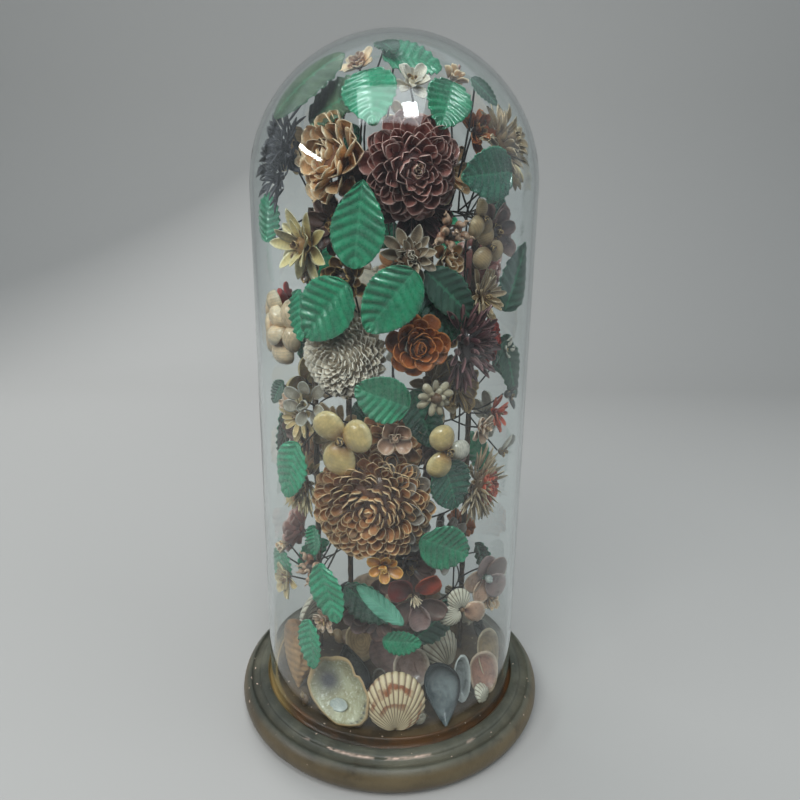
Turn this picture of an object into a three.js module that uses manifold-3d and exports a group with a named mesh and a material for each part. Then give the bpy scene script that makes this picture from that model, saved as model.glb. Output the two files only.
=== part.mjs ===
// A tall glass display dome on a turned, painted wooden base. Under it stands an arrangement
// of shell flowers and waxed-cloth leaves on dark wires, with whole shells round its foot.
// Millimetres, +Z up. The origin is the middle of the base's underside and the front faces -Y.

import * as THREE from 'three';
import { mergeVertices } from 'three/addons/utils/BufferGeometryUtils.js';
import Module from 'manifold-3d';

const wasm = await Module();
wasm.setup();

const { degToRad, radToDeg, euclideanModulo, lerp } = THREE.MathUtils;
const ORIGIN = new THREE.Vector2(0, 0);
const UP = new THREE.Vector3(0, 0, 1);

// Driving dimensions

const GAP = 0.3;
const TURNING_SEGMENTS = 30;

const BASE_RADIUS = 122.5;
const SHOULDER_RADIUS = 109.5;
const SHOULDER_LEVEL = 24;
const GROOVE_LEVEL = 20;
const GROOVE_OUTER_RADIUS = 101.2;
const DISC_RADIUS = 96;
const DISC_LEVEL = 28;

const GLASS_RADIUS = 100;
const GLASS_WALL = 3;
const GLASS_TOP = 498;
const SPRING_LEVEL = GLASS_TOP - GLASS_RADIUS;
const CAP_STEPS = 6;

const UPRIGHT_REACH = 60;
const UPRIGHT_RADIUS = 2.5;
const UPRIGHT_TOP = 388;
const UPRIGHT_BEARINGS = { right: 96, back_right: 150, back_left: -142, left: -96 };

const WIRE_RADIUS = 0.9;
const WIRE_CLEARANCE = 3 * GAP;
const HOOP_REACH = UPRIGHT_REACH - UPRIGHT_RADIUS - WIRE_RADIUS - GAP;
const HOOP_CORNERS = 10;
const HOOP_LEVELS = [104, 174, 244, 314, 384];
const RIB_BEARINGS = [-30, 60, 180];

const LEAF_THICKNESS = 1.2;
const LEAF_REACH = 91;

// Finishes

const finish = (color, roughness, metalness = 0) =>
  new THREE.MeshStandardMaterial({ color, roughness, metalness });

const PAINTED_WOOD = finish(0x4b4434, 0.5);
const CLEAR_GLASS = new THREE.MeshStandardMaterial({
  color: 0xe6f0ee, roughness: 0.05, metalness: 0, transparent: true, opacity: 0.2,
});
const DARK_WIRE = finish(0x241f1a, 0.6, 0.4);
const UPRIGHT_WOOD = finish(0x4a3b2c, 0.7);
const WAXED_GREEN = finish(0x0f8f5f, 0.3);
const shellFinish = (color) => finish(color, 0.4);

// Closed skins

// The same geometry as a watertight one: shared vertices, no flat slivers, faces outwards.
function watertight(geometry) {
  geometry.deleteAttribute('normal');
  geometry.deleteAttribute('uv');
  const merged = mergeVertices(geometry, 1e-4);
  const index = merged.index.array;
  const position = merged.getAttribute('position');
  const corner = [new THREE.Vector3(), new THREE.Vector3(), new THREE.Vector3()];
  const faces = [];
  let volume = 0;
  for (let face = 0; face < index.length; face += 3) {
    const ids = [index[face], index[face + 1], index[face + 2]];
    if (new Set(ids).size < 3) continue;
    ids.forEach((id, k) => corner[k].fromBufferAttribute(position, id));
    volume += corner[0].dot(corner[1].clone().cross(corner[2]));
    faces.push(ids);
  }
  merged.setIndex(faces.flatMap(([a, b, c]) => (volume > 0 ? [a, b, c] : [a, c, b])));
  return merged;
}

// A skin over rings of equally many points. It is closed at its ends by a point each, or at
// the last end, where no point is given, by faces between the two halves of the last ring.
function skin(first, rings, last) {
  const count = rings[0].length;
  const points = [first, ...rings.flat()];
  const at = (ring, i) => 1 + ring * count + (i % count);
  const faces = [];
  for (let i = 0; i < count; i++) {
    faces.push([0, at(0, i), at(0, i + 1)]);
    for (let ring = 1; ring < rings.length; ring++) {
      faces.push([at(ring - 1, i), at(ring, i), at(ring, i + 1)]);
      faces.push([at(ring - 1, i), at(ring, i + 1), at(ring - 1, i + 1)]);
    }
  }
  const end = rings.length - 1;
  if (last) {
    points.push(last);
    for (let i = 0; i < count; i++) faces.push([points.length - 1, at(end, i + 1), at(end, i)]);
  } else {
    for (let i = 0; i < count / 2 - 1; i++) {
      const mate = count - 1 - i;
      faces.push([at(end, i), at(end, mate), at(end, mate - 1)]);
      faces.push([at(end, i), at(end, mate - 1), at(end, i + 1)]);
    }
  }
  const geometry = new THREE.BufferGeometry();
  geometry.setAttribute('position', new THREE.Float32BufferAttribute(points.flat(), 3));
  geometry.setIndex(faces.flat());
  return watertight(geometry);
}

const ringOf = (count, point) =>
  Array.from({ length: count }, (_, i) => point((2 * Math.PI * i) / count, i));

const polar = (radius, angle, z) => [radius * Math.cos(angle), radius * Math.sin(angle), z];

function turned(profile) {
  const points = profile.map(([radius, level]) => new THREE.Vector2(radius, level));
  return watertight(new THREE.LatheGeometry(points, TURNING_SEGMENTS).rotateX(Math.PI / 2));
}

// Booleans

function toManifold(geometry) {
  return new wasm.Manifold(new wasm.Mesh({
    numProp: 3,
    vertProperties: new Float32Array(geometry.getAttribute('position').array),
    triVerts: new Uint32Array(geometry.index.array),
  }));
}

function fuse(geometries) {
  const whole = geometries.map(toManifold).reduce((sum, solid) => sum.add(solid));
  const mesh = whole.getMesh();
  const geometry = new THREE.BufferGeometry();
  geometry.setAttribute('position', new THREE.Float32BufferAttribute(mesh.vertProperties, 3));
  geometry.setIndex([...mesh.triVerts]);
  return geometry;
}

// Base and glass

function baseProfile() {
  const bulge = [[116, 2.4], [120.2, 6.4], [BASE_RADIUS, 12], [120.6, 17], [115.6, 19.8]];
  return [
    [0, 0], [110, 0], ...bulge, [110.2, 20.6], [SHOULDER_RADIUS, 22.6],
    [GROOVE_OUTER_RADIUS, SHOULDER_LEVEL], [GROOVE_OUTER_RADIUS, GROOVE_LEVEL],
    [DISC_RADIUS, GROOVE_LEVEL], [DISC_RADIUS, DISC_LEVEL - 1.6], [DISC_RADIUS - 1.4, DISC_LEVEL],
    [0, DISC_LEVEL],
  ];
}

function glassProfile() {
  const wall = (radius) => Array.from({ length: CAP_STEPS + 1 }, (_, i) => {
    const angle = (Math.PI / 2) * (i / CAP_STEPS);
    return [i === CAP_STEPS ? 0 : radius * Math.cos(angle), SPRING_LEVEL + radius * Math.sin(angle)];
  });
  const foot = GROOVE_LEVEL + GAP;
  const inner = GLASS_RADIUS - GLASS_WALL;
  return [...wall(inner).reverse(), [inner, foot], [GLASS_RADIUS, foot], ...wall(GLASS_RADIUS)];
}

// Flowers, each with its back at the origin and its face towards +Z

// Rows of petals round a middle, each row half a petal on from the row inside it.
function rosette({ across, deep, petals, rows, notch = 0.8, rim = 0.12, cup = 0.1 }) {
  const radius = across / 2;
  const front = (share) => deep * lerp(1, rim, share ** 1.7);
  const rings = [];
  for (let row = 1; row <= rows; row++) {
    const share = (row / rows) ** 0.85;
    const size = radius * share;
    const isTip = (i) => (i + row) % 2 === 0;
    const edge = (scale, level) => ringOf(2 * petals, (angle, i) => polar(
      size * scale * (isTip(i) ? 1 : notch),
      angle,
      level + (isTip(i) ? cup * deep : 0),
    ));
    rings.push(edge(1, front(share)));
    if (row < rows) rings.push(edge(0.94, front(share) - 0.14 * deep));
    else rings.push(edge(0.9, Math.max(front(share) - 0.1 * deep - 0.8, 0.4)));
  }
  return skin([0, 0, deep * 0.96], rings, [0, 0, 0]);
}

// Plump valves round a small middle, each a rounded lobe.
function valveFlower({ across, deep, petals }) {
  const perLobe = petals < 4 ? 5 : 4;
  const spread = 1.04 * Math.sin(Math.PI / petals);
  const centre = across / 2 / (1 + spread);
  const lobe = centre * spread;
  const count = petals * perLobe;
  const offAxis = (angle) => {
    const pitch = (2 * Math.PI) / petals;
    return Math.abs(((angle + pitch / 2) % pitch) - pitch / 2);
  };
  const outline = (angle) => {
    const off = offAxis(angle);
    return centre * Math.cos(off) + Math.sqrt(Math.max(lobe ** 2 - (centre * Math.sin(off)) ** 2, 0));
  };
  const level = (radius, angle) => {
    const off = offAxis(angle);
    const away = Math.hypot(radius * Math.cos(off) - centre, radius * Math.sin(off)) / lobe;
    return deep * (0.35 + 0.65 * Math.sqrt(Math.max(1 - away ** 2, 0)));
  };
  const rings = [0.4, 0.75, 0.95].map((share) => ringOf(count, (angle) => {
    const radius = share * outline(angle);
    return polar(radius, angle, level(radius, angle));
  }));
  rings.push(ringOf(count, (angle) => polar(outline(angle), angle, 0.3 * deep)));
  return skin([0, 0, 0.55 * deep], rings, [0, 0, 0]);
}

// A domed head of short spikes in staggered rows.
function burr({ across, deep, petals, rows }) {
  const rings = Array.from({ length: rows }, (_, row) => {
    const lean = (Math.PI / 2) * ((row + 1) / rows);
    return ringOf(2 * petals, (angle, i) => {
      const reach = (i + row) % 2 === 0 ? 1 : 0.82;
      const out = (across / 2) * Math.sin(lean) * reach;
      return polar(out, angle, 2 + (deep - 2) * Math.cos(lean) * reach);
    });
  });
  return skin([0, 0, deep], rings, [0, 0, 0]);
}

// A rounded base, a drawn-out tip and toothed edges. The blade runs along +Y, its face is +Z
// and it is bent round the arrangement, which is `bend` away in front of its back.
function leaf({ long, wide, spin = 0, bend = LEAF_REACH, domed = false }) {
  const stations = 8;
  const turn = degToRad(spin);
  const lift = (x, y) => {
    const sideways = x * Math.cos(turn) + y * Math.sin(turn);
    const upward = y * Math.cos(turn) - x * Math.sin(turn);
    return -(sideways ** 2 + (domed ? upward ** 2 : 0)) / (2 * bend);
  };
  const spot = (x, y, z) => [x, y, z + lift(x, y)];
  const rings = Array.from({ length: stations }, (_, i) => {
    const share = (i + 1) / (stations + 1);
    const y = long * (0.5 - share);
    const tooth = i % 2 === 0 ? 1.05 : 0.95;
    const half = (wide / 2) * tooth * Math.sin(Math.PI * share ** 0.8) ** 0.75;
    return [
      spot(0, y, LEAF_THICKNESS / 2), spot(half, y, 1.6), spot(0, y, -LEAF_THICKNESS / 2),
      spot(-half, y, 1.6),
    ];
  });
  return skin(spot(0, long / 2, 0), rings, spot(0, -long / 2, 0));
}

// Whole shells, with +Z the way they face

// A fan from the hinge at -Y to the rim at +Y: a thin bowed wall, ribbed or smooth.
function valve({ long, wide, deep, ribs = 0, steps = 6, wall = 1.6, taper = 0.5, inside = false }) {
  const count = ribs ? 2 * ribs : steps;
  const stations = ribs ? [0.25, 0.62, 1] : [0.16, 0.42, 0.74, 1];
  const rings = stations.map((share) => {
    const half = (wide / 2) * Math.sin((Math.PI / 2) * share ** taper) ** 0.9;
    const arc = (drop, ribbed) => Array.from({ length: count + 1 }, (_, i) => {
      const across = 1 - (2 * i) / count;
      const alongBow = Math.sin(Math.PI * (0.12 + 0.74 * share));
      const crown = Math.sqrt(Math.max(1 - across ** 2 * 0.92, 0)) * alongBow;
      const ridge = ribbed && ribs && i % 2 ? 1.1 * share : 0;
      const rimDrop = long * 0.22 * across ** 2 * share;
      const y = -long / 2 + long * share - rimDrop;
      return [half * across * (drop ? 0.94 : 1), y, Math.max(deep * crown - drop, 0) + ridge];
    });
    const outer = arc(0, true).map(([x, y, z]) => [x, y, z + 0.8]);
    const inner = arc(wall, false).reverse();
    return [...outer, ...inner];
  });
  const geometry = skin([0, -long / 2, deep * 0.25], rings, null);
  return inside ? geometry.rotateY(Math.PI) : geometry;
}

// A dish seen from its hollow side, oval or ear-shaped.
function dish({ long, wide, deep, wall = 1.8, ear = 0, count = 14 }) {
  const edge = (angle, scale, z) => {
    const swell = 1 + ear * Math.cos(angle - 2.2);
    const size = scale * swell;
    return [(wide / 2) * size * Math.cos(angle), (long / 2) * size * Math.sin(angle), z];
  };
  const rings = [
    ringOf(count, (angle) => edge(angle, 0.6, wall + deep * 0.18)),
    ringOf(count, (angle) => edge(angle, 0.92, deep)),
    ringOf(count, (angle) => edge(angle, 1, deep - 0.4)),
    ringOf(count, (angle) => edge(angle, 0.66, deep * 0.14)),
  ];
  return skin([0, 0, wall], rings, [0, 0, 0]);
}

// A knobbed rock shell: whorls that swell from the spire, then draw in to the canal.
function rockShell({ long, wide, deep }) {
  const swell = [0.3, 0.62, 0.78, 1, 0.94, 0.6, 0.28];
  const rings = swell.map((size, i) => ringOf(8, (angle, k) => {
    const knob = (i + k) % 2 === 0 ? 1 : 0.84;
    const y = long * (0.5 - (i + 0.8) / (swell.length + 0.6));
    const x = (wide / 2) * size * knob * Math.sin(angle);
    return [x, y, (deep / 2) * (1 + size * knob * Math.cos(angle))];
  }));
  return skin([0, long / 2, deep / 2], rings, [0, -long / 2, deep / 2]);
}

// Places. A bearing runs from the front towards +X, a height from the table and a reach from
// the dome's axis to the face. Tilt looks up, turn looks further round and spin is clockwise.

const FORMS = { rosette, valveFlower, burr, leaf, valve, dish, rockShell };

const FLOWERS = [
  { name: 'crown_bloom_left', bearing: -44, height: 478, reach: 36, tilt: 42, turn: 20,
    form: 'rosette', across: 27, deep: 8, petals: 6, rows: 2, color: 0xd8c3a0 },
  { name: 'crown_bloom_right', bearing: 64, height: 475, reach: 46, tilt: 58,
    form: 'rosette', across: 20, deep: 11, petals: 6, rows: 2, color: 0xb3906c },
  { name: 'tan_rose', bearing: -34, height: 415, reach: 84, tilt: 8, turn: -12,
    form: 'rosette', across: 53, deep: 21, petals: 7, rows: 3, color: 0xc79a66 },
  { name: 'plum_dahlia', bearing: 9, height: 404, reach: 87, tilt: -12, turn: 6,
    form: 'rosette', across: 54, deep: 21, petals: 8, rows: 4, color: 0x8c5a50 },
  { name: 'black_aster', bearing: -67, height: 421, reach: 88, tilt: 12, turn: -8,
    form: 'rosette', across: 53, deep: 13, petals: 9, rows: 2, notch: 0.62, color: 0x2f2d30 },
  { name: 'tan_aster', bearing: 61, height: 428, reach: 87, tilt: 18, turn: 8,
    form: 'rosette', across: 52, deep: 13, petals: 9, rows: 2, notch: 0.62, color: 0xb7977a },
  { name: 'yellow_daisy', bearing: -47, height: 362, reach: 85,
    form: 'rosette', across: 49, deep: 12, petals: 8, rows: 2, notch: 0.55, color: 0xd9c58e },
  { name: 'brown_cup_flower', bearing: -22, height: 343, reach: 85,
    form: 'rosette', across: 31, deep: 12, petals: 6, rows: 2, color: 0x7d5b3c },
  { name: 'grey_daisy', bearing: 7, height: 356, reach: 87,
    form: 'rosette', across: 37, deep: 12, petals: 8, rows: 2, notch: 0.62, color: 0xa6927c },
  { name: 'olive_clam_flower', bearing: 45, height: 379, reach: 84, turn: 10,
    form: 'valveFlower', across: 26, deep: 9, petals: 3, color: 0xa5916a },
  { name: 'white_pompon', bearing: -27, height: 294, reach: 88,
    form: 'burr', across: 57, deep: 26, petals: 11, rows: 5, color: 0xcdc6bd },
  { name: 'orange_rose', bearing: 12, height: 302, reach: 85,
    form: 'rosette', across: 39, deep: 13, petals: 7, rows: 3, color: 0xa9561d },
  { name: 'maroon_dahlia', bearing: 47, height: 300, reach: 84, turn: 16,
    form: 'rosette', across: 62, deep: 18, petals: 8, rows: 3, notch: 0.66, color: 0x4a2426 },
  { name: 'red_rose', bearing: 85, height: 296, reach: 80,
    form: 'rosette', across: 34, deep: 13, petals: 6, rows: 2, color: 0xa3201f },
  { name: 'cream_clam_flower', bearing: -84, height: 306, reach: 94,
    form: 'valveFlower', across: 54, deep: 15, petals: 5, color: 0xdcc3a0 },
  { name: 'jingle_flower', bearing: -47, height: 259, reach: 84,
    form: 'rosette', across: 38, deep: 7, petals: 5, rows: 1, notch: 0.6, rim: 0.5, color: 0xb5ab98 },
  { name: 'yellow_clam_flower', bearing: -22, height: 241, reach: 92,
    form: 'valveFlower', across: 45, deep: 10, petals: 3, spin: 25, color: 0xcfb373 },
  { name: 'pink_cup_flower', bearing: 1, height: 245, reach: 88,
    form: 'valveFlower', across: 26, deep: 8, petals: 4, color: 0xb58d74 },
  { name: 'white_clam_flower', bearing: 26, height: 233, reach: 90,
    form: 'valveFlower', across: 37, deep: 10, petals: 3, spin: 90, color: 0xd8c39b },
  { name: 'beige_daisy', bearing: 21, height: 268, reach: 84,
    form: 'rosette', across: 26, deep: 10, petals: 7, rows: 2, notch: 0.65, color: 0xa3957f },
  { name: 'brown_chrysanthemum', bearing: -10, height: 194, reach: 90,
    form: 'rosette', across: 77, deep: 25, petals: 10, rows: 4, color: 0x8d6743 },
  { name: 'amber_flower', bearing: -3, height: 157, reach: 92, hoop: 104,
    form: 'rosette', across: 25, deep: 6, petals: 6, rows: 1, notch: 0.6, rim: 0.5, color: 0xae6a1e },
  { name: 'fringe_flower', bearing: -60, height: 197, reach: 84, turn: -8,
    form: 'rosette', across: 54, deep: 12, petals: 11, rows: 1, notch: 0.72, rim: 0.4, color: 0xb89a6c },
  { name: 'beige_aster', bearing: 62, height: 195, reach: 84, turn: 12,
    form: 'rosette', across: 56, deep: 14, petals: 9, rows: 2, notch: 0.72, color: 0xa98c6c },
  { name: 'red_petal_flower', bearing: 13, height: 124, reach: 80,
    form: 'rosette', across: 54, deep: 9, petals: 5, rows: 1, notch: 0.5, rim: 0.5, color: 0x6d2c22 },
  { name: 'cockle_flower', bearing: 37, height: 113, reach: 91,
    form: 'valveFlower', across: 33, deep: 8, petals: 3, spin: 90, color: 0xddd2bd },
  { name: 'disc_flower', bearing: 60, height: 121, reach: 84, turn: -28,
    form: 'valveFlower', across: 38, deep: 6, petals: 5, color: 0x9a7c6e },
  { name: 'back_rose_upper', bearing: 168, height: 408, reach: 84,
    form: 'rosette', across: 50, deep: 18, petals: 7, rows: 3, color: 0xb98a5c },
  { name: 'back_dahlia_right', bearing: 122, height: 345, reach: 86,
    form: 'rosette', across: 52, deep: 16, petals: 8, rows: 3, color: 0x7d4c44 },
  { name: 'back_pompon', bearing: -158, height: 322, reach: 86,
    form: 'burr', across: 50, deep: 22, petals: 9, rows: 4, color: 0xc9bfae },
  { name: 'back_clam_flower', bearing: -118, height: 252, reach: 90,
    form: 'valveFlower', across: 44, deep: 11, petals: 4, color: 0xcdb27c },
  { name: 'back_daisy', bearing: 138, height: 247, reach: 85,
    form: 'rosette', across: 44, deep: 12, petals: 8, rows: 2, notch: 0.6, color: 0xb3a184 },
  { name: 'back_chrysanthemum', bearing: -175, height: 178, reach: 88,
    form: 'rosette', across: 68, deep: 22, petals: 9, rows: 3, color: 0x8a6a4a },
];

const LEAVES = [
  { name: 'leaf_crown', bearing: 22, height: 477, reach: 33, stalk: -0.3, tilt: 36, spin: 96,
    long: 40, wide: 30, domed: true },
  { name: 'leaf_top_left', bearing: -11, height: 447, reach: 76, tilt: 34, spin: 168,
    long: 40, wide: 32, domed: true },
  { name: 'leaf_top_right', bearing: 23, height: 443, reach: 79, tilt: 30, spin: 205,
    long: 36, wide: 28, domed: true },
  { name: 'leaf_round_right', bearing: 39, height: 404, reach: 90, tilt: 0, spin: 250,
    long: 38, wide: 36 },
  { name: 'leaf_centre', bearing: -13, height: 374, reach: LEAF_REACH, spin: 6, long: 50, wide: 33 },
  { name: 'leaf_mid_left', bearing: -27, height: 324, reach: 92, spin: 222, long: 46, wide: 37 },
  { name: 'leaf_mid', bearing: -1, height: 331, reach: LEAF_REACH, spin: 218, long: 46, wide: 34 },
  { name: 'leaf_lower_mid', bearing: -4, height: 272, reach: LEAF_REACH, spin: 290,
    long: 36, wide: 30 },
  { name: 'leaf_left_low', bearing: -49, height: 213, reach: LEAF_REACH, turn: 14, spin: 196,
    long: 44, wide: 29 },
  { name: 'leaf_right_low', bearing: 31, height: 206, reach: 78, spin: 160, long: 38, wide: 33 },
  { name: 'leaf_right_lower', bearing: 24, height: 168, reach: LEAF_REACH, spin: 118,
    long: 41, wide: 31 },
  { name: 'leaf_low_left', bearing: -28, height: 131, reach: LEAF_REACH, spin: 18, long: 44, wide: 27 },
  { name: 'leaf_slant', bearing: -5, height: 127, reach: 86, tilt: 46, spin: -54, long: 42, wide: 19 },
];

const FLOOR_SHELLS = [
  { name: 'rock_shell', bearing: -64, reach: 84, tilt: 0, spin: -6,
    form: 'rockShell', long: 54, wide: 32, deep: 26, color: 0xb08a5c },
  { name: 'ormer', bearing: -26, reach: 83, tilt: 30, spin: -34,
    form: 'dish', long: 57, wide: 42, deep: 9, ear: 0.1, color: 0xb9b29a },
  { name: 'striped_cockle', bearing: 3, reach: 93, tilt: 16,
    form: 'valve', long: 43, wide: 40, deep: 12, ribs: 7, color: 0xd3c2a4 },
  { name: 'mussel_shell', bearing: 27, reach: 95, tilt: 18, spin: -4,
    form: 'valve', long: 46, wide: 28, deep: 8, inside: true, color: 0x56606a },
  { name: 'white_cockle', bearing: 66, reach: 52, tilt: 20, spin: -16,
    form: 'valve', long: 33, wide: 31, deep: 10, ribs: 6, color: 0xcfc8b8 },
  { name: 'cup_shell', bearing: 22, reach: 46, tilt: 26,
    form: 'dish', long: 32, wide: 31, deep: 8, color: 0x8b7770 },
  { name: 'pink_cup_shell', bearing: 57, reach: 84, tilt: 20,
    form: 'dish', long: 32, wide: 24, deep: 7, color: 0x9c7263 },
];

// On the straight wall a face looks level, and over the cap it looks up as the glass does.
function tiltAt(height) {
  const rise = Math.max(height - SPRING_LEVEL, 0) / GLASS_RADIUS;
  return radToDeg(Math.asin(rise));
}

const arrangement = new THREE.Group();

function seat(mesh, place, back) {
  const { bearing, height = 0, reach, tilt = tiltAt(height), turn = 0, spin = 0 } = place;
  const way = new THREE.Group();
  way.rotation.z = degToRad(bearing);
  const spot = new THREE.Group();
  spot.position.set(0, -reach, height);
  spot.rotation.z = degToRad(turn);
  const nod = new THREE.Group();
  nod.rotation.x = degToRad(90 - tilt);
  mesh.position.z = -back;
  mesh.rotation.z = degToRad(-spin);
  nod.add(mesh);
  spot.add(nod);
  way.add(spot);
  arrangement.add(way);
  way.updateMatrixWorld(true);
  return spot;
}

function named(name, geometry, material) {
  const mesh = new THREE.Mesh(geometry, material);
  mesh.name = name;
  return mesh;
}

// Where each flower and leaf takes its wire, just behind its back, and the hoop it comes from
// where that isn't the nearest one.
const wireEnds = [];

for (const flower of FLOWERS) {
  const mesh = named(flower.name, FORMS[flower.form](flower), shellFinish(flower.color));
  seat(mesh, flower, flower.deep);
  const end = mesh.localToWorld(new THREE.Vector3(0, 0, -WIRE_CLEARANCE));
  wireEnds.push({ end, hoop: flower.hoop });
}

for (const blade of LEAVES) {
  const mesh = named(blade.name, leaf(blade), WAXED_GREEN);
  seat(mesh, blade, LEAF_THICKNESS);
  const stalk = (blade.stalk ?? -0.36) * blade.long;
  const end = mesh.localToWorld(new THREE.Vector3(0, stalk, -LEAF_THICKNESS - WIRE_CLEARANCE));
  wireEnds.push({ end, hoop: blade.hoop });
}

for (const shell of FLOOR_SHELLS) {
  const mesh = named(shell.name, FORMS[shell.form](shell), shellFinish(shell.color));
  const spot = seat(mesh, shell, shell.deep);
  const lowest = new THREE.Box3().setFromObject(mesh, true).min.z;
  spot.position.z += DISC_LEVEL + GAP - lowest;
}

// Uprights and branch wires

function onBearing(bearing, reach, level) {
  const angle = degToRad(bearing);
  return new THREE.Vector3(reach * Math.sin(angle), -reach * Math.cos(angle), level);
}

function rod(from, to, radius, sides) {
  const corners = ringOf(sides, (angle) => new THREE.Vector2(radius, 0).rotateAround(ORIGIN, angle));
  const depth = from.distanceTo(to);
  const geometry = new THREE.ExtrudeGeometry(new THREE.Shape(corners), { depth, bevelEnabled: false });
  const along = to.clone().sub(from).normalize();
  geometry.applyQuaternion(new THREE.Quaternion().setFromUnitVectors(UP, along));
  geometry.translate(from.x, from.y, from.z);
  return watertight(geometry);
}

for (const [side, bearing] of Object.entries(UPRIGHT_BEARINGS)) {
  const foot = onBearing(bearing, UPRIGHT_REACH, DISC_LEVEL + GAP);
  const top = onBearing(bearing, UPRIGHT_REACH, UPRIGHT_TOP);
  arrangement.add(named(`upright_${side}`, rod(foot, top, UPRIGHT_RADIUS, 6), UPRIGHT_WOOD));
}

// A hoop is bent in short straights, so between its corners it lies nearer the axis.
function hoopReachAt(bearing) {
  const half = 180 / HOOP_CORNERS;
  const offMiddle = euclideanModulo(bearing - 90, 2 * half) - half;
  return (HOOP_REACH * Math.cos(degToRad(half))) / Math.cos(degToRad(offMiddle));
}

function branchWires() {
  const hoops = HOOP_LEVELS.map((level) =>
    watertight(new THREE.TorusGeometry(HOOP_REACH, WIRE_RADIUS, 3, HOOP_CORNERS).translate(0, 0, level)));
  const ribs = RIB_BEARINGS.map((bearing) => rod(
    onBearing(bearing, hoopReachAt(bearing), HOOP_LEVELS[0]),
    onBearing(bearing, hoopReachAt(bearing), HOOP_LEVELS.at(-1)),
    WIRE_RADIUS,
    3,
  ));
  const branches = wireEnds.map(({ end, hoop }) => {
    const bearing = radToDeg(Math.atan2(end.x, -end.y));
    const level = hoop ?? HOOP_LEVELS.reduce((best, next) =>
      (Math.abs(next - end.z) < Math.abs(best - end.z) ? next : best));
    return rod(onBearing(bearing, hoopReachAt(bearing), level), end, WIRE_RADIUS, 3);
  });
  return fuse([...hoops, ...ribs, ...branches]);
}

const group = new THREE.Group();
group.add(named('turned_base', turned(baseProfile()), PAINTED_WOOD));
group.add(named('glass_dome', turned(glassProfile()), CLEAR_GLASS));
group.add(named('branch_wires', branchWires(), DARK_WIRE));
group.add(arrangement);

export default group;
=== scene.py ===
"""A tall glass display dome on a turned, painted wooden base. Under it stand shell flowers,
waxed cloth leaves and whole shells. Shapes are worked out in millimetres and made in metres."""

import random
from math import asin, atan2, copysign, cos, degrees, exp, pi, radians, sin, sqrt

import bmesh
import bpy
import numpy as np
from mathutils import Matrix, Vector, noise


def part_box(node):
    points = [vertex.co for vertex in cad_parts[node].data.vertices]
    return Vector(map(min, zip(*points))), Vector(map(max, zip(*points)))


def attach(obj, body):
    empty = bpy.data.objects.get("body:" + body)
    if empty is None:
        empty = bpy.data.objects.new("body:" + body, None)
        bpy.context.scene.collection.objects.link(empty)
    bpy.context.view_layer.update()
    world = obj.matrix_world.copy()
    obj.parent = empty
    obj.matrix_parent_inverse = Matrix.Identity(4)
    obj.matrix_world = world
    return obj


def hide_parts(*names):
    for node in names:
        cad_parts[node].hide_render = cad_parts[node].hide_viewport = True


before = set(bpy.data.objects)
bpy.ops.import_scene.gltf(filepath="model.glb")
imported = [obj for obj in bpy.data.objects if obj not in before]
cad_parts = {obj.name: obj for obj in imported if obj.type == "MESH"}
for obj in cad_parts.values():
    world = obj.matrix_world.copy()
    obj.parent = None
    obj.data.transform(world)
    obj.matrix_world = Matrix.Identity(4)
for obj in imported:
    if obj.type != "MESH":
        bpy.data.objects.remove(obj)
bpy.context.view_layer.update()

MM = 0.001
rng = random.Random(1868)
GOLDEN_ANGLE = 137.508

glass_low, glass_high = (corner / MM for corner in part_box("glass_dome"))
_, base_high = (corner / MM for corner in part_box("turned_base"))
GLASS_RADIUS = min(glass_high.x, glass_high.y)
GLASS_TOP = glass_high.z
GLASS_WALL = 3
SPRING_LEVEL = GLASS_TOP - GLASS_RADIUS
BASE_RADIUS = min(base_high.x, base_high.y)
DISC_LEVEL = base_high.z
FREE_RADIUS = GLASS_RADIUS - GLASS_WALL - 0.8
REST_LEVEL = DISC_LEVEL + 0.2

# Node trees


def feed(tree, socket, value):
    """Links another node's socket to this one, or sets a plain value on it."""
    if isinstance(value, bpy.types.NodeSocket):
        tree.links.new(value, socket)
    else:
        socket.default_value = value


def add(tree, kind, inputs=(), **settings):
    """A node with its settings. Its inputs are values or other nodes' sockets."""
    node = tree.nodes.new(kind)
    for key, value in settings.items():
        setattr(node, key, value)
    for key, value in dict(inputs).items():
        feed(tree, node.inputs[key], value)
    return node


def calc(tree, operation, *terms):
    return add(tree, "ShaderNodeMath", dict(enumerate(terms)), operation=operation).outputs[0]


def ramp(tree, value, low, high, to_low=0.0, to_high=1.0):
    """A smooth step from to_low at low to to_high at high."""
    inputs = {"Value": value, "From Min": low, "From Max": high, "To Min": to_low, "To Max": to_high}
    return add(tree, "ShaderNodeMapRange", inputs, interpolation_type="SMOOTHSTEP").outputs[0]


def blend(tree, share, first, second, mode="MIX"):
    settings = {"data_type": "RGBA", "blend_type": mode, "clamp_result": False}
    return add(tree, "ShaderNodeMix", {0: share, 6: first, 7: second}, **settings).outputs[2]


def grain(tree, where, scale, detail=4.0, rough=0.55, twist=0.0):
    """Noise from 0 to 1, at so many features to the metre."""
    inputs = {"Vector": where, "Scale": scale, "Detail": detail, "Roughness": rough, "Distortion": twist}
    return add(tree, "ShaderNodeTexNoise", inputs).outputs["Fac"]


def rgb(red, green, blue):
    """A colour given as it looks, from 0 to 255."""
    def linear(part):
        share = part / 255
        return share / 12.92 if share <= 0.04045 else ((share + 0.055) / 1.055) ** 2.4
    return (linear(red), linear(green), linear(blue), 1.0)


def group(name, inputs, outputs):
    tree = bpy.data.node_groups.new(name, "ShaderNodeTree")
    kinds = {"c": "NodeSocketColor", "f": "NodeSocketFloat", "v": "NodeSocketVector"}
    for way, sockets in (("INPUT", inputs), ("OUTPUT", outputs)):
        for socket, kind in sockets:
            tree.interface.new_socket(socket, in_out=way, socket_type=kinds[kind])
    return tree, tree.nodes.new("NodeGroupInput").outputs, tree.nodes.new("NodeGroupOutput").inputs


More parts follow.
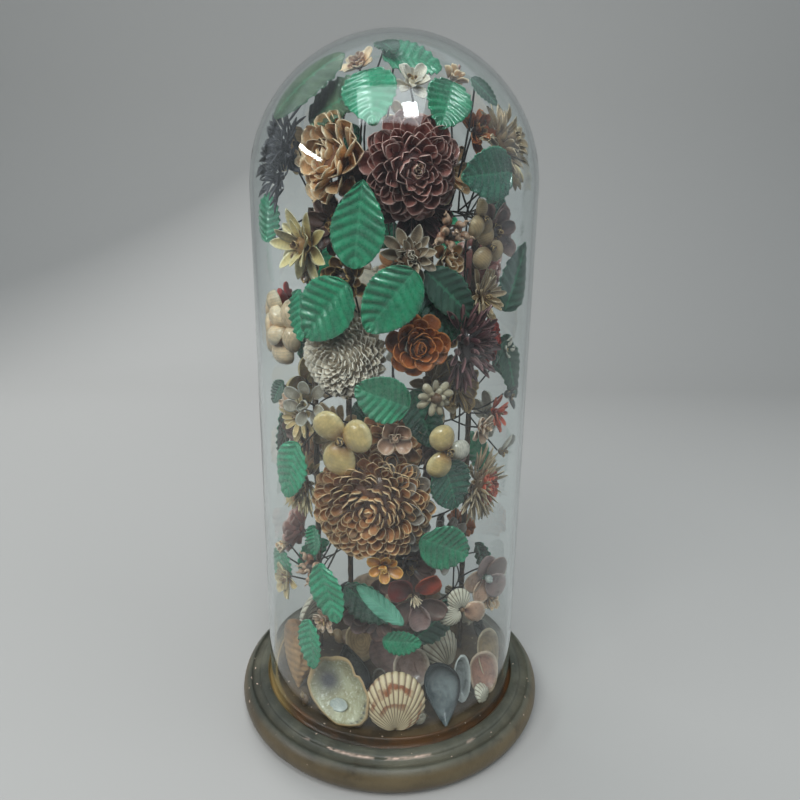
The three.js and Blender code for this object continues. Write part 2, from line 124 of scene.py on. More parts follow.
def shell_growth():
    """Shell colour from a darker foot, partly painted shade, to a paler rim, a painted highlight, with growth
    lines, mottling and each petal's own tone.
    """
    tree, start, end = group(
        "shell_growth",
        [("Where", "v"), ("Foot", "c"), ("Body", "c"), ("Rim", "c"), ("Along", "f"), ("Edge", "f"),
         ("Tone", "f"), ("Vary", "f"), ("Lines", "f"), ("Rim Start", "f")],
        [("Color", "c"), ("Rough", "f"), ("Height", "f")],
    )
    rise = ramp(tree, start["Along"], 0.02, 0.5)
    # The foot is darker: partly the shell's own colour, partly painted shade where petals overlap.
    colour = blend(tree, rise, start["Foot"], start["Body"])
    # The paler rim is a painted highlight.
    colour = blend(tree, ramp(tree, start["Edge"], start["Rim Start"], 1.0), colour, start["Rim"])
    cloud = grain(tree, start["Where"], 190, 5)
    phase = calc(tree, "MULTIPLY_ADD", start["Along"], 60.0, calc(tree, "MULTIPLY", cloud, 2.0))
    line = calc(tree, "MULTIPLY_ADD", calc(tree, "SINE", phase), 0.5, 0.5)
    shade = calc(tree, "MULTIPLY", calc(tree, "SUBTRACT", start["Tone"], 0.5), start["Vary"])
    shade = calc(tree, "ADD", shade, ramp(tree, cloud, 0.3, 0.7, 0.8, 1.16))
    lined = calc(tree, "MULTIPLY", calc(tree, "SUBTRACT", line, 0.5), start["Lines"])
    shade = calc(tree, "ADD", shade, lined)
    grey = add(tree, "ShaderNodeCombineColor", {0: shade, 1: shade, 2: shade}).outputs[0]
    fine = calc(tree, "MULTIPLY", grain(tree, start["Where"], 900, 3), 0.5)
    feed(tree, end["Color"], blend(tree, 1.0, colour, grey, "MULTIPLY"))
    feed(tree, end["Rough"], ramp(tree, cloud, 0.25, 0.75, -0.08, 0.12))
    feed(tree, end["Height"], calc(tree, "MULTIPLY_ADD", line, start["Lines"], fine))
    return tree


def settled_dust():
    """A mask of dust, more on what looks up, broken by noise."""
    tree, start, end = group("settled_dust", [("Where", "v"), ("Amount", "f")], [("Dust", "f")])
    up = add(tree, "ShaderNodeSeparateXYZ", {0: add(tree, "ShaderNodeNewGeometry").outputs["Normal"]})
    lying = ramp(tree, up.outputs[2], 0.1, 1.0)
    patchy = ramp(tree, grain(tree, start["Where"], 120, 6), 0.4, 0.75)
    both = calc(tree, "MULTIPLY", lying, patchy)
    feed(tree, end["Dust"], calc(tree, "MULTIPLY", both, start["Amount"]))
    return tree


SHELL_GROWTH = shell_growth()
SETTLED_DUST = settled_dust()
DUST = rgb(176, 168, 150)
RIM_START = 0.7
THREADS = 11.0

# Materials


def material(name):
    """A new material, its tree, its Principled shader and the Object coordinates."""
    made = bpy.data.materials.new(name)
    made.use_nodes = True
    tree = made.node_tree
    where = add(tree, "ShaderNodeTexCoord").outputs["Object"]
    return made, tree, tree.nodes["Principled BSDF"], where


def own(tree, name, socket="Fac"):
    """A value that the mesh carries at each point."""
    return add(tree, "ShaderNodeAttribute", attribute_name=name).outputs[socket]


def dress(tree, shader, colour, roughness, height, depth, coat=0.0, coat_rough=0.12):
    """Gives the shader its colour, roughness, coat and a bump of that depth in millimetres."""
    bump = add(tree, "ShaderNodeBump", {"Height": height, "Distance": depth * MM, "Strength": 1.0})
    values = {"Base Color": colour, "Roughness": roughness, "Normal": bump.outputs[0],
              "Coat Weight": coat, "Coat Roughness": coat_rough}
    for key, value in values.items():
        feed(tree, shader.inputs[key], value)


def shell(name, foot, body, rim, rough, coat, lines=0.1, vary=0.35, alpha=1.0, dust=0.25):
    """Sea shell, darker at the foot, partly as painted shade, and paler at the rim as a painted highlight,
    under a film of dust.
    """
    made, tree, shader, where = material(name)
    growth = add(tree, "ShaderNodeGroup", {
        "Where": where, "Foot": rgb(*foot), "Body": rgb(*body), "Rim": rgb(*rim),
        "Along": own(tree, "along"), "Edge": own(tree, "edge"), "Tone": own(tree, "tone"),
        "Vary": vary, "Lines": lines, "Rim Start": RIM_START,
    }, node_tree=SHELL_GROWTH).outputs
    settled = {"Where": where, "Amount": dust}
    film = add(tree, "ShaderNodeGroup", settled, node_tree=SETTLED_DUST).outputs["Dust"]
    colour = blend(tree, film, growth["Color"], DUST)
    roughness = calc(tree, "MULTIPLY_ADD", film, 0.5, calc(tree, "ADD", growth["Rough"], rough))
    dress(tree, shader, colour, roughness, growth["Height"], 0.12, coat)
    shader.inputs["Alpha"].default_value = alpha
    return made


def leaf_cloth(name, dark, bright, coat=1.0, rough=0.3):
    """Green waxed cloth: a fine weave under wax that pools and cracks, lighter along the veins, partly as a
    painted highlight, and at the rubbed edges.
    """
    made, tree, shader, where = material(name)
    part = add(tree, "ShaderNodeSeparateXYZ", {0: own(tree, "flat", "Vector")}).outputs
    warp = calc(tree, "SINE", calc(tree, "MULTIPLY", part[0], THREADS))
    weft = calc(tree, "SINE", calc(tree, "MULTIPLY", part[1], THREADS))
    cloud = grain(tree, where, 90, 5)
    fleck = grain(tree, where, 520, 4, 0.6)
    colour = blend(tree, ramp(tree, cloud, 0.3, 0.72), rgb(*dark), rgb(*bright))
    # Lighter along the veins: partly rubbed wax, partly a painted highlight.
    wear_and_highlight = ramp(tree, own(tree, "vein"), 0.45, 0.9, 0.0, 0.3)
    colour = blend(tree, wear_and_highlight, colour, rgb(90, 176, 138))
    rubbed = ramp(tree, own(tree, "edge"), 0.93, 1.0, 0.0, 0.45)
    colour = blend(tree, rubbed, colour, rgb(84, 160, 126))
    roughness = ramp(tree, fleck, 0.35, 0.65, rough - 0.12, rough + 0.14)
    weave = calc(tree, "MULTIPLY", calc(tree, "MULTIPLY", warp, weft), 0.12)
    dress(tree, shader, colour, roughness, calc(tree, "MULTIPLY_ADD", fleck, 0.7, weave), 0.1, coat)
    return made


def pearl(name, body, bloom, rim, rough=0.2, dark=(60, 62, 64), fleck=0.5, deep=0.5):
    """Mother of pearl: clouded colour with pale flecks painted as glints, fine wrinkles and a crusty rim,
    darker where the mesh marks it, which is a mussel's own margin and painted shade in the ormer's holes and
    hollow.
    """
    made, tree, shader, where = material(name)
    cloud = grain(tree, where, 55, 5, 0.6, 0.6)
    fine = grain(tree, where, 480, 5, 0.62)
    colour = blend(tree, ramp(tree, cloud, 0.35, 0.65), rgb(*body), rgb(*bloom))
    # Pale flecks: painted glints.
    colour = blend(tree, ramp(tree, fine, 0.52, 0.7, 0.0, fleck), colour, rgb(232, 228, 208))
    # Dark where marked: a mussel's own margin, and painted shade in the ormer's holes and hollow.
    colour = blend(tree, own(tree, "mark"), colour, rgb(*dark))
    crust = ramp(tree, own(tree, "edge"), 0.86, 0.96)
    colour = blend(tree, crust, colour, rgb(*rim))
    roughness = calc(tree, "MULTIPLY_ADD", crust, 0.45, rough)
    wrinkles = calc(tree, "ADD", fine, calc(tree, "MULTIPLY", cloud, 0.6))
    dress(tree, shader, colour, roughness, wrinkles, deep, 0.5, 0.1)
    return made


def ribbed(name, ground, band, groove_shade, strength):
    """Cockle ribs with painted shade in the grooves, crossed by broken bands."""
    made, tree, shader, where = material(name)
    along = own(tree, "along")
    cloud = grain(tree, where, 130, 4)
    phase = calc(tree, "MULTIPLY_ADD", along, 22.0, calc(tree, "MULTIPLY", cloud, 7.0))
    bands = ramp(tree, calc(tree, "SINE", phase), -0.1, 0.9)
    bands = calc(tree, "MULTIPLY", bands, ramp(tree, along, 0.25, 0.6))
    patch = ramp(tree, grain(tree, where, 60, 3), 0.36, 0.56)
    share = calc(tree, "MULTIPLY", calc(tree, "MULTIPLY", bands, patch), strength)
    colour = blend(tree, share, rgb(*ground), rgb(*band))
    # Darker between the ribs: painted shade in the grooves.
    colour = blend(tree, ramp(tree, own(tree, "rib"), 0.1, 0.75, 0.85, 0.0), colour, rgb(*groove_shade))
    dress(tree, shader, colour, 0.36, grain(tree, where, 700, 4), 0.2, 0.3, 0.2)
    return made


# Where the base changes its finish, in metres: heights, distances from its axis, and along X.
SHOULDER_RISE = (0.0165, 0.0215)
GROOVE_EDGE = (0.1022, 0.1006)
DISC_EDGE = (0.0948, 0.0936)
# Along X, the side beyond which the groove carries a painted highlight.
HIGHLIGHT_SIDE = (-0.066, -0.092)


def painted_base():
    """Olive brown paint, greyer on the shoulder, rubbed, specked, and chipped to pale gesso; the groove is
    dark gilt with a painted highlight along its left side.
    """
    made, tree, shader, where = material("painted_base")
    part = add(tree, "ShaderNodeSeparateXYZ", {0: where}).outputs
    squares = [calc(tree, "POWER", part[axis], 2.0) for axis in (0, 1)]
    reach = calc(tree, "SQRT", calc(tree, "ADD", *squares))
    cloud = grain(tree, where, 26, 6, 0.6)
    fine = grain(tree, where, 420, 5, 0.6)
    bulge = blend(tree, ramp(tree, cloud, 0.3, 0.7), rgb(64, 55, 39), rgb(88, 77, 55))
    shoulder = blend(tree, ramp(tree, cloud, 0.35, 0.7), rgb(52, 55, 49), rgb(84, 84, 72))
    colour = blend(tree, ramp(tree, part[2], *SHOULDER_RISE), bulge, shoulder)
    grime = ramp(tree, grain(tree, where, 75, 7, 0.65), 0.52, 0.75, 0.0, 0.55)
    colour = blend(tree, grime, colour, rgb(40, 34, 24))
    gilt_and_highlight = blend(tree, ramp(tree, cloud, 0.42, 0.62), rgb(50, 38, 27), rgb(92, 58, 30))
    # Pale yellow along the groove's left side: a painted highlight.
    gilt_and_highlight = blend(tree, ramp(tree, part[0], *HIGHLIGHT_SIDE), gilt_and_highlight, rgb(168, 138, 88))
    colour = blend(tree, ramp(tree, reach, *GROOVE_EDGE), colour, gilt_and_highlight)
    patchy = ramp(tree, grain(tree, where, 60, 5), 0.4, 0.65)
    bark = blend(tree, patchy, rgb(58, 45, 33), rgb(92, 74, 54))
    colour = blend(tree, ramp(tree, reach, *DISC_EDGE), colour, bark)
    speck = ramp(tree, grain(tree, where, 310, 2, 0.4), 0.735, 0.76)
    speck = calc(tree, "MULTIPLY", speck, ramp(tree, part[2], 0.012, 0.02))
    chip = calc(tree, "MAXIMUM", own(tree, "mark"), speck)
    colour = blend(tree, chip, colour, rgb(208, 184, 168))
    roughness = calc(tree, "MULTIPLY_ADD", chip, 0.3, ramp(tree, cloud, 0.3, 0.7, 0.34, 0.5))
    dress(tree, shader, colour, roughness, calc(tree, "MULTIPLY_ADD", chip, -0.8, fine), 0.3, 0.12, 0.3)
    return made


def clear_glass():
    """Clear blown glass, faintly green in its thickness. Light from lamps passes straight through."""
    made, tree, shader, _ = material("clear_glass")
    shader.inputs["Base Color"].default_value = (0.97, 0.99, 0.985, 1)
    shader.inputs["Roughness"].default_value = 0.0
    shader.inputs["IOR"].default_value = 1.45
    shader.inputs["Transmission Weight"].default_value = 1.0
    lamps = add(tree, "ShaderNodeLightPath").outputs["Is Shadow Ray"]
    clear = add(tree, "ShaderNodeBsdfTransparent", {"Color": (0.94, 0.97, 0.965, 1)})
    mix = add(tree, "ShaderNodeMixShader", {0: lamps, 1: shader.outputs[0], 2: clear.outputs[0]})
    tint = add(tree, "ShaderNodeVolumeAbsorption", {"Color": (0.55, 0.86, 0.84, 1), "Density": 15.0})
    end = tree.nodes["Material Output"]
    feed(tree, end.inputs["Surface"], mix.outputs[0])
    feed(tree, end.inputs["Volume"], tint.outputs[0])
    return made


def plain_bark(name, dark, light, rough):
    """Dark thread-bound wire, or thin barked wood."""
    made, tree, shader, where = material(name)
    patchy = ramp(tree, grain(tree, where, 240, 4), 0.4, 0.65)
    colour = blend(tree, patchy, rgb(*dark), rgb(*light))
    dress(tree, shader, colour, rough, grain(tree, where, 900, 3), 0.3)
    return made


# Each shell finish: its colours at the foot, partly painted shade, over the body and at the rim, a painted
# highlight, and its roughness and coat.
# Some go on with the strength of the growth lines, the shades between petals, alpha and dust.
SHELLS = {
    "tan": ((140, 90, 56), (222, 178, 132), (242, 218, 184), 0.26, 0.7),
    "tan_dry": ((110, 84, 58), (172, 146, 112), (205, 186, 158), 0.5, 0.1),
    "plum": ((124, 70, 66), (172, 112, 104), (212, 174, 166), 0.34, 0.35),
    "black": ((16, 16, 20), (40, 40, 46), (72, 72, 80), 0.55, 0.05),
    "yellow": ((140, 102, 52), (214, 196, 138), (232, 222, 184), 0.34, 0.3),
    "brown": ((44, 28, 18), (112, 80, 50), (196, 164, 112), 0.32, 0.5),
    "grey": ((88, 62, 42), (158, 138, 116), (204, 192, 176), 0.42, 0.2),
    "olive": ((112, 84, 56), (176, 148, 110), (198, 176, 142), 0.34, 0.3, 0.2),
    "white": ((204, 186, 164), (232, 220, 202), (248, 240, 228), 0.8, 0.0, 0.1, 0.15, 1.0, 0.08),
    "orange": ((74, 32, 10), (164, 84, 30), (196, 118, 56), 0.3, 0.4),
    "maroon": ((30, 13, 18), (66, 32, 38), (128, 90, 92), 0.42, 0.2),
    "red": ((74, 14, 12), (166, 36, 30), (196, 70, 58), 0.4, 0.2),
    "cream": ((206, 160, 118), (236, 208, 172), (240, 222, 194), 0.24, 0.6, 0.16),
    "clam": ((150, 104, 52), (200, 172, 112), (214, 194, 144), 0.2, 0.8, 0.07, 0.15),
    "white_clam": ((198, 186, 164), (216, 208, 194), (226, 220, 208), 0.28, 0.5, 0.16),
    "pink": ((92, 52, 40), (178, 138, 114), (212, 184, 160), 0.3, 0.5),
    "mauve": ((84, 58, 58), (140, 112, 108), (166, 142, 138), 0.32, 0.4),
    "cup_mauve": ((78, 54, 54), (156, 130, 122), (212, 196, 178), 0.28, 0.5),
    "russet": ((104, 54, 42), (160, 110, 90), (212, 184, 160), 0.32, 0.4),
    "whelk": ((44, 42, 46), (148, 152, 152), (208, 210, 208), 0.3, 0.4),
    "dark_mauve": ((52, 34, 34), (92, 66, 60), (128, 98, 90), 0.34, 0.4),
    "rust": ((92, 52, 26), (176, 118, 72), (226, 192, 148), 0.3, 0.5, 0.1, 0.6),
    "straw_grey": ((120, 104, 80), (172, 158, 132), (198, 188, 168), 0.4, 0.2, 0.2),
    "dark_red": ((48, 12, 12), (112, 30, 30), (138, 62, 58), 0.4, 0.2),
    "jingle": ((120, 104, 84), (176, 168, 152), (214, 210, 198), 0.22, 0.5, 0.1, 0.35, 0.82),
    "smoky": ((74, 60, 50), (124, 112, 102), (176, 170, 162), 0.24, 0.5, 0.1, 0.35, 0.84),
    "amber": ((110, 52, 8), (192, 122, 34), (228, 178, 96), 0.2, 0.7, 0.1, 0.35, 0.88),
    "peach": ((168, 122, 98), (206, 172, 146), (226, 204, 184), 0.3, 0.5, 0.3),
    "straw": ((120, 86, 48), (196, 170, 122), (222, 206, 166), 0.45, 0.15),
    "coral_red": ((120, 30, 16), (196, 72, 44), (206, 104, 76), 0.4, 0.2),
    "cockle": ((150, 128, 100), (218, 208, 188), (230, 224, 210), 0.42, 0.2, 0.2),
    "rock": ((126, 92, 62), (184, 144, 102), (222, 196, 160), 0.55, 0.1, 0.3),
}
FINISH = {key: shell(key + "_shell", *row) for key, row in SHELLS.items()}
FINISH.update({
    "leaf": leaf_cloth("leaf_green", (0, 98, 66), (0, 138, 94)),
    # A darker copy of the green for leaves behind, below and on the right: painted shade.
    "leaf_deep": leaf_cloth("leaf_deep", (0, 60, 44), (2, 92, 66)),
    # A lighter copy of the green for leaves at the top and on the left: painted light.
    "leaf_bright": leaf_cloth("leaf_bright", (4, 122, 84), (28, 160, 116)),
    "leaf_pale": leaf_cloth("leaf_pale", (72, 134, 112), (100, 160, 138), 0.25, 0.45),
    # A duller, darker copy for leaves at the back and the sides: painted shade.
    "leaf_shade": leaf_cloth("leaf_shade", (30, 60, 48), (56, 88, 72), 0.25, 0.45),
    "leaf_olive": leaf_cloth("leaf_olive", (58, 80, 62), (98, 120, 94), 0.3, 0.45),
    # The ormer's dark colour paints shade into its holes and hollow.
    "nacre": pearl("ormer_pearl", (150, 140, 104), (190, 186, 156), (184, 154, 114), 0.2, (74, 72, 78), 0.75),
    "scar": pearl("ormer_scar", (158, 164, 162), (190, 196, 190), (164, 166, 154)),
    "mussel": pearl("mussel_pearl", (70, 78, 82), (126, 134, 136), (20, 22, 26), 0.16, (24, 27, 32),
                    0.06, 0.15),
    "dark_mussel": pearl("dark_mussel", (40, 44, 42), (64, 68, 64), (26, 28, 28), 0.22, fleck=0.05, deep=0.2),
    "stripes": ribbed("striped_cockle", (222, 200, 164), (146, 82, 44), (104, 68, 42), 1.0),
    "pale_ribs": ribbed("pale_cockle", (226, 218, 200), (176, 150, 118), (120, 104, 86), 0.3),
    "wire": plain_bark("dark_wire", (22, 18, 15), (46, 38, 30), 0.55),
    "upright": plain_bark("upright_wood", (52, 40, 30), (86, 68, 50), 0.7),
    "base": painted_base(),
    "glass": clear_glass(),
})

# Meshes


def mesh_of(name, points, faces, finish, **values):
    """A smooth closed mesh from points in millimetres, with values for each point by name."""
    mesh = bpy.data.meshes.new(name)
    mesh.from_pydata([Vector(point) * MM for point in points], [], faces)
    skin = bmesh.new()
    skin.from_mesh(mesh)
    if skin.calc_volume(signed=True) < 0:
        bmesh.ops.reverse_faces(skin, faces=skin.faces)
        skin.to_mesh(mesh)
    skin.free()
    for key, each in values.items():
        if isinstance(each[0], tuple):
            layer = mesh.attributes.new(key, "FLOAT_VECTOR", "POINT")
            layer.data.foreach_set("vector", [part for value in each for part in value])
        else:
            mesh.attributes.new(key, "FLOAT", "POINT").data.foreach_set("value", each)
    mesh.shade_smooth()
    mesh.materials.append(FINISH[finish])
    return mesh


def slab(name, face, wall, finish, along=7, across=4, even=False, marks=None):
    """A closed thin wall. face(u, v) is its front, u from foot to tip and v from side to side."""
    def stop(i, count, low, high):
        share = i / count if even else (1 - cos(pi * i / count)) / 2
        return low + (high - low) * share
    us = [stop(i, along, 0, 1) for i in range(along + 1)]
    vs = [stop(j, across, -1, 1) for j in range(across + 1)]
    spots = [(u, v) for u in us for v in vs]
    front = [face(u, v) for u, v in spots]
    back = [(x, y, z - wall) for x, y, z in front]
    size = len(front)
    row = across + 1
    faces = []
    for i in range(along):
        for j in range(across):
            a, b, c, d = i * row + j, i * row + j + 1, (i + 1) * row + j + 1, (i + 1) * row + j
            faces += [(a, b, c, d), (size + d, size + c, size + b, size + a)]
    for j in range(across):
        low, high = j, along * row + j
        faces.append((low, size + low, size + low + 1, low + 1))
        faces.append((high + 1, size + high + 1, size + high, high))
    for i in range(along):
        left, right = i * row, i * row + across
        faces.append((left, left + row, size + left + row, size + left))
        faces.append((right + row, right, size + right, size + right + row))
    edge = [max(abs(v), 2 * u - 1) for u, v in spots] * 2
    values = {"along": [u for u, _ in spots] * 2, "edge": edge}
    if marks:
        for key, rule in marks.items():
            values[key] = [rule(u, v) for u, v in spots] * 2
    return mesh_of(name, front + back, faces, finish, **values)


def rounds(name, rings, finish, **values):
    """A skin over rings of equally many points, with a point at each end."""
    count = len(rings[1])
    points = [rings[0][0]] + [point for ring in rings[1:-1] for point in ring] + [rings[-1][0]]
    faces = []
    last = len(rings) - 3
    for i in range(count):
        j = (i + 1) % count
        faces.append((0, 1 + i, 1 + j))
        for ring in range(last):
            a, b = 1 + ring * count, 1 + (ring + 1) * count
            faces.append((a + i, b + i, b + j, a + j))
        faces.append((len(points) - 1, 1 + last * count + j, 1 + last * count + i))
    return mesh_of(name, points, faces, finish, **values)


def petal_face(long, wide, belly=1.2, blunt=0.55, cup=0.3, bowl=0.0, curl=0.1, tip=0.1, ruffle=0.0,
               jag=0.0):
    """A petal whose foot is the origin. It runs along +Y and is hollow towards +Z."""
    def face(u, v):
        swell = sin(pi * u ** belly) ** blunt if 0 < u < 1 else 0
        half = wide / 2 * (tip + (1 - tip) * swell)
        hollow = cup * wide * v * v * (half * 2 / wide) + bowl * long * (2 * u - 1) ** 2
        wave = ruffle * long * sin(3 * pi * v + 2) * u * u
        tooth = jag * long * (abs((v * 2) % 1 - 0.5) - 0.25) * max(u - 0.6, 0) * 5
        return (v * half, long * u + tooth, hollow + curl * long * u * u + wave)
    return face


def rib_at(ribs, v):
    """How high a valve stands between its grooves, from 0 to 1."""
    return abs(sin(ribs * pi / 2 * (v + 1)))


def valve_face(long, wide, deep, ribs, rib):
    """A round fan from the hinge at the origin, its ribs spreading to a scalloped rim along +Y."""
    def face(u, v):
        angle = v * radians(80)
        ridge = rib * u ** 0.5 * (rib_at(ribs, v) - 0.5)
        ray = long * cos(angle) ** 0.8 * (0.03 + 0.97 * u) + 0.8 * ridge * u ** 6
        crown = deep * sin(pi * (0.1 + 0.76 * u)) * cos(angle) ** 0.6
        return (ray * sin(angle) * wide / long * 0.94, ray * cos(angle), crown + ridge)
    return face


def dome_face(long, wide, deep):
    """A plump oval valve from its beak at the origin along +Y, domed towards +Z."""
    egg = 0.12

    def face(u, v):
        off = 2 * u - 1
        half = wide / 2 * (0.05 + 0.95 * sqrt(max(1 - off * off, 0))) * (1 + egg * off)
        crown = max(1 - off * off, 0) ** 0.45 * sqrt(max(1 - v * v * 0.98, 0))
        return (v * half, long * u, deep * crown)
    return face


# Petals in rows


def petal_rows_tree():
    """Sets a petal in rows, or on one spiral, over a domed head, then makes it real."""
    tree = bpy.data.node_groups.new("petal_rows", "GeometryNodeTree")
    sockets = [("Petal", "Object"), ("Finish", "Material"), ("Petals", "Int"), ("Rows", "Int"),
               ("Inner Reach", "Float"), ("Outer Reach", "Float"), ("Top", "Float"), ("Bottom", "Float"),
               ("Inner Lean", "Float"), ("Outer Lean", "Float"), ("Inner Size", "Float"),
               ("Outer Size", "Float"), ("Spread", "Float"), ("Start", "Float"), ("Row Turn", "Float"),
               ("Arc", "Float"), ("Jitter", "Float"), ("Seed", "Int")]
    for name, kind in sockets:
        tree.interface.new_socket(name, in_out="INPUT", socket_type="NodeSocket" + kind)
    tree.interface.new_socket("Geometry", in_out="OUTPUT", socket_type="NodeSocketGeometry")
    start = tree.nodes.new("NodeGroupInput").outputs
    count = calc(tree, "MULTIPLY", start["Petals"], start["Rows"])
    line = add(tree, "GeometryNodeMeshLine", {"Count": count})
    index = add(tree, "GeometryNodeInputIndex").outputs[0]
    row = calc(tree, "FLOOR", calc(tree, "DIVIDE", calc(tree, "ADD", index, 0.5), start["Petals"]))
    spot = calc(tree, "SUBTRACT", index, calc(tree, "MULTIPLY", row, start["Petals"]))
    steps = calc(tree, "MAXIMUM", calc(tree, "SUBTRACT", start["Rows"], 1.0), 1.0)
    share = calc(tree, "POWER", calc(tree, "DIVIDE", row, steps), start["Spread"])
    quarter = calc(tree, "MULTIPLY", share, pi / 2)

    def between(first, second, by):
        return calc(tree, "MULTIPLY_ADD", calc(tree, "SUBTRACT", second, first), by, first)

    def chance(step, scale):
        seed = calc(tree, "ADD", start["Seed"], float(step))
        draw = add(tree, "FunctionNodeRandomValue", {"ID": index, "Seed": seed}, data_type="FLOAT")
        draw.inputs[2].default_value = -scale
        draw.inputs[3].default_value = scale
        return calc(tree, "MULTIPLY", draw.outputs[1], start["Jitter"])

    reach = between(start["Inner Reach"], start["Outer Reach"], calc(tree, "SINE", quarter))
    level = between(start["Bottom"], start["Top"], calc(tree, "COSINE", quarter))
    level = calc(tree, "ADD", level, calc(tree, "MULTIPLY", chance(4, 1.0), 1.2 * MM))
    lean = calc(tree, "ADD", between(start["Inner Lean"], start["Outer Lean"], share), chance(1, 0.3))
    pitch = calc(tree, "DIVIDE", start["Arc"], start["Petals"])
    angle = calc(tree, "MULTIPLY_ADD", spot, pitch, start["Start"])
    angle = calc(tree, "MULTIPLY_ADD", row, start["Row Turn"], angle)
    angle = calc(tree, "ADD", angle, chance(2, 0.16))
    place = add(tree, "ShaderNodeCombineXYZ", {
        0: calc(tree, "MULTIPLY", reach, calc(tree, "SINE", angle)),
        1: calc(tree, "MULTIPLY", reach, calc(tree, "COSINE", angle)), 2: level,
    })
    turn = add(tree, "ShaderNodeCombineXYZ", {
        0: calc(tree, "SUBTRACT", pi / 2, lean), 1: chance(3, 0.25),
        2: calc(tree, "MULTIPLY", angle, -1.0),
    })
    size = between(start["Inner Size"], start["Outer Size"], share)
    size = calc(tree, "MULTIPLY", size, calc(tree, "ADD", 1.0, chance(5, 0.16)))
    spots = add(tree, "GeometryNodeSetPosition", {"Geometry": line.outputs[0], "Position": place.outputs[0]})
    petal = add(tree, "GeometryNodeObjectInfo", {"Object": start["Petal"]})
    copies = add(tree, "GeometryNodeInstanceOnPoints", {
        "Points": spots.outputs[0], "Instance": petal.outputs["Geometry"], "Rotation": turn.outputs[0],
        "Scale": size,
    })
    tone = add(tree, "FunctionNodeRandomValue", {"ID": index, "Seed": start["Seed"]}, data_type="FLOAT")
    toned = add(tree, "GeometryNodeStoreNamedAttribute", {
        "Geometry": copies.outputs[0], "Name": "tone", "Value": tone.outputs[1],
    }, data_type="FLOAT", domain="INSTANCE")
    real = add(tree, "GeometryNodeRealizeInstances", {0: toned.outputs[0]})
    done = add(tree, "GeometryNodeSetMaterial", {"Geometry": real.outputs[0], "Material": start["Finish"]})
    end = tree.nodes.new("NodeGroupOutput")
    tree.links.new(done.outputs[0], end.inputs[0])
    return tree


PETAL_ROWS = petal_rows_tree()


def linked(name, mesh):
    made = bpy.data.objects.new(name, mesh)
    bpy.context.scene.collection.objects.link(made)
    return made


def spray(petal, finish, petals=7, rows=1, reach=(1, 5), level=(8, 2), lean=(20, 80), size=(1, 1),
          spread=1.0, start=0, row_turn=None, arc=360, jitter=1.0):
    """Petals over a head that faces +Z, as one mesh. Lengths are in millimetres."""
    source = linked("petal_source", petal)
    carrier = linked("petal_carrier", bpy.data.meshes.new("petal_carrier"))
    modifier = carrier.modifiers.new("petal_rows", "NODES")
    modifier.node_group = PETAL_ROWS
    turn = arc / petals / 2 if row_turn is None else row_turn
    given = {
        "Petal": source, "Finish": FINISH[finish], "Petals": petals, "Rows": rows,
        "Inner Reach": reach[0] * MM, "Outer Reach": reach[1] * MM, "Top": level[0] * MM,
        "Bottom": level[1] * MM, "Inner Lean": radians(lean[0]), "Outer Lean": radians(lean[1]),
        "Inner Size": float(size[0]), "Outer Size": float(size[1]), "Spread": float(spread),
        "Start": radians(start), "Row Turn": radians(turn), "Arc": radians(arc), "Jitter": float(jitter),
        "Seed": rng.randrange(10000),
    }
    for item in PETAL_ROWS.interface.items_tree:
        if item.in_out == "INPUT":
            modifier[item.identifier] = given[item.name]
    graph = bpy.context.evaluated_depsgraph_get()
    mesh = bpy.data.meshes.new_from_object(carrier.evaluated_get(graph))
    carrier.modifiers.remove(modifier)
    for used in (carrier, source):
        bpy.data.objects.remove(used)
    return mesh


def moved(mesh, turn=(0, 0, 0), shift=(0, 0, 0)):
    """The mesh turned by degrees about X, Y and Z and shifted by millimetres."""
    matrix = Matrix.Translation(Vector(shift) * MM)
    for axis, angle in zip("ZYX", reversed(turn)):
        matrix = matrix @ Matrix.Rotation(radians(angle), 4, axis)
    mesh.transform(matrix)
    return mesh


# Places


def polar(bearing, reach, level=0.0):
    """A point so far from the dome's axis, its bearing from the front in radians."""
    return (reach * sin(bearing), -reach * cos(bearing), level)


def points_of(mesh):
    """The mesh's points in millimetres, one to a row."""
    flat = np.empty(len(mesh.vertices) * 3)
    mesh.vertices.foreach_get("co", flat)
    return flat.reshape(-1, 3) / MM


def look(origin, out, spin=0):
    """A place in millimetres whose +Z looks out and +Y up, then turned clockwise by spin."""
    up = (Vector((0, 0, 1)) - out * out.z).normalized()
    place = Matrix((up.cross(out), up, out)).transposed().to_4x4()
    place.translation = Vector(origin) * MM
    return place @ Matrix.Rotation(-radians(spin), 4, "Z")


def wall_place(bearing, height, reach, tilt=None, turn=0, spin=0):
    """A place by its bearing from the front, its height and its reach from the dome's axis."""
    if tilt is None:
        tilt = degrees(asin(min(max(height - SPRING_LEVEL, 0) / GLASS_RADIUS, 1)))
    out = Vector(polar(radians(bearing + turn), cos(radians(tilt)), sin(radians(tilt))))
    return look(polar(radians(bearing), reach, height), out, spin)


def solid_of(node):
    """A round solid's way out, the middle of its back, its radius and its depth."""
    points = np.unique(points_of(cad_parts[node].data).round(3), axis=0)
    middle = points.mean(axis=0)
    _, ways = np.linalg.eigh(np.cov((points - middle).T))
    out = Vector(ways[:, 0])
    if out.dot(Vector((middle[0], middle[1], 0))) < 0:
        out.negate()
    rise = (points - middle) @ np.array(out)
    away = points - middle - np.outer(rise, np.array(out))
    back = Vector(middle) + out * float(rise.min())
    return out, back, float(np.linalg.norm(away, axis=1).max()), float(np.ptp(rise))


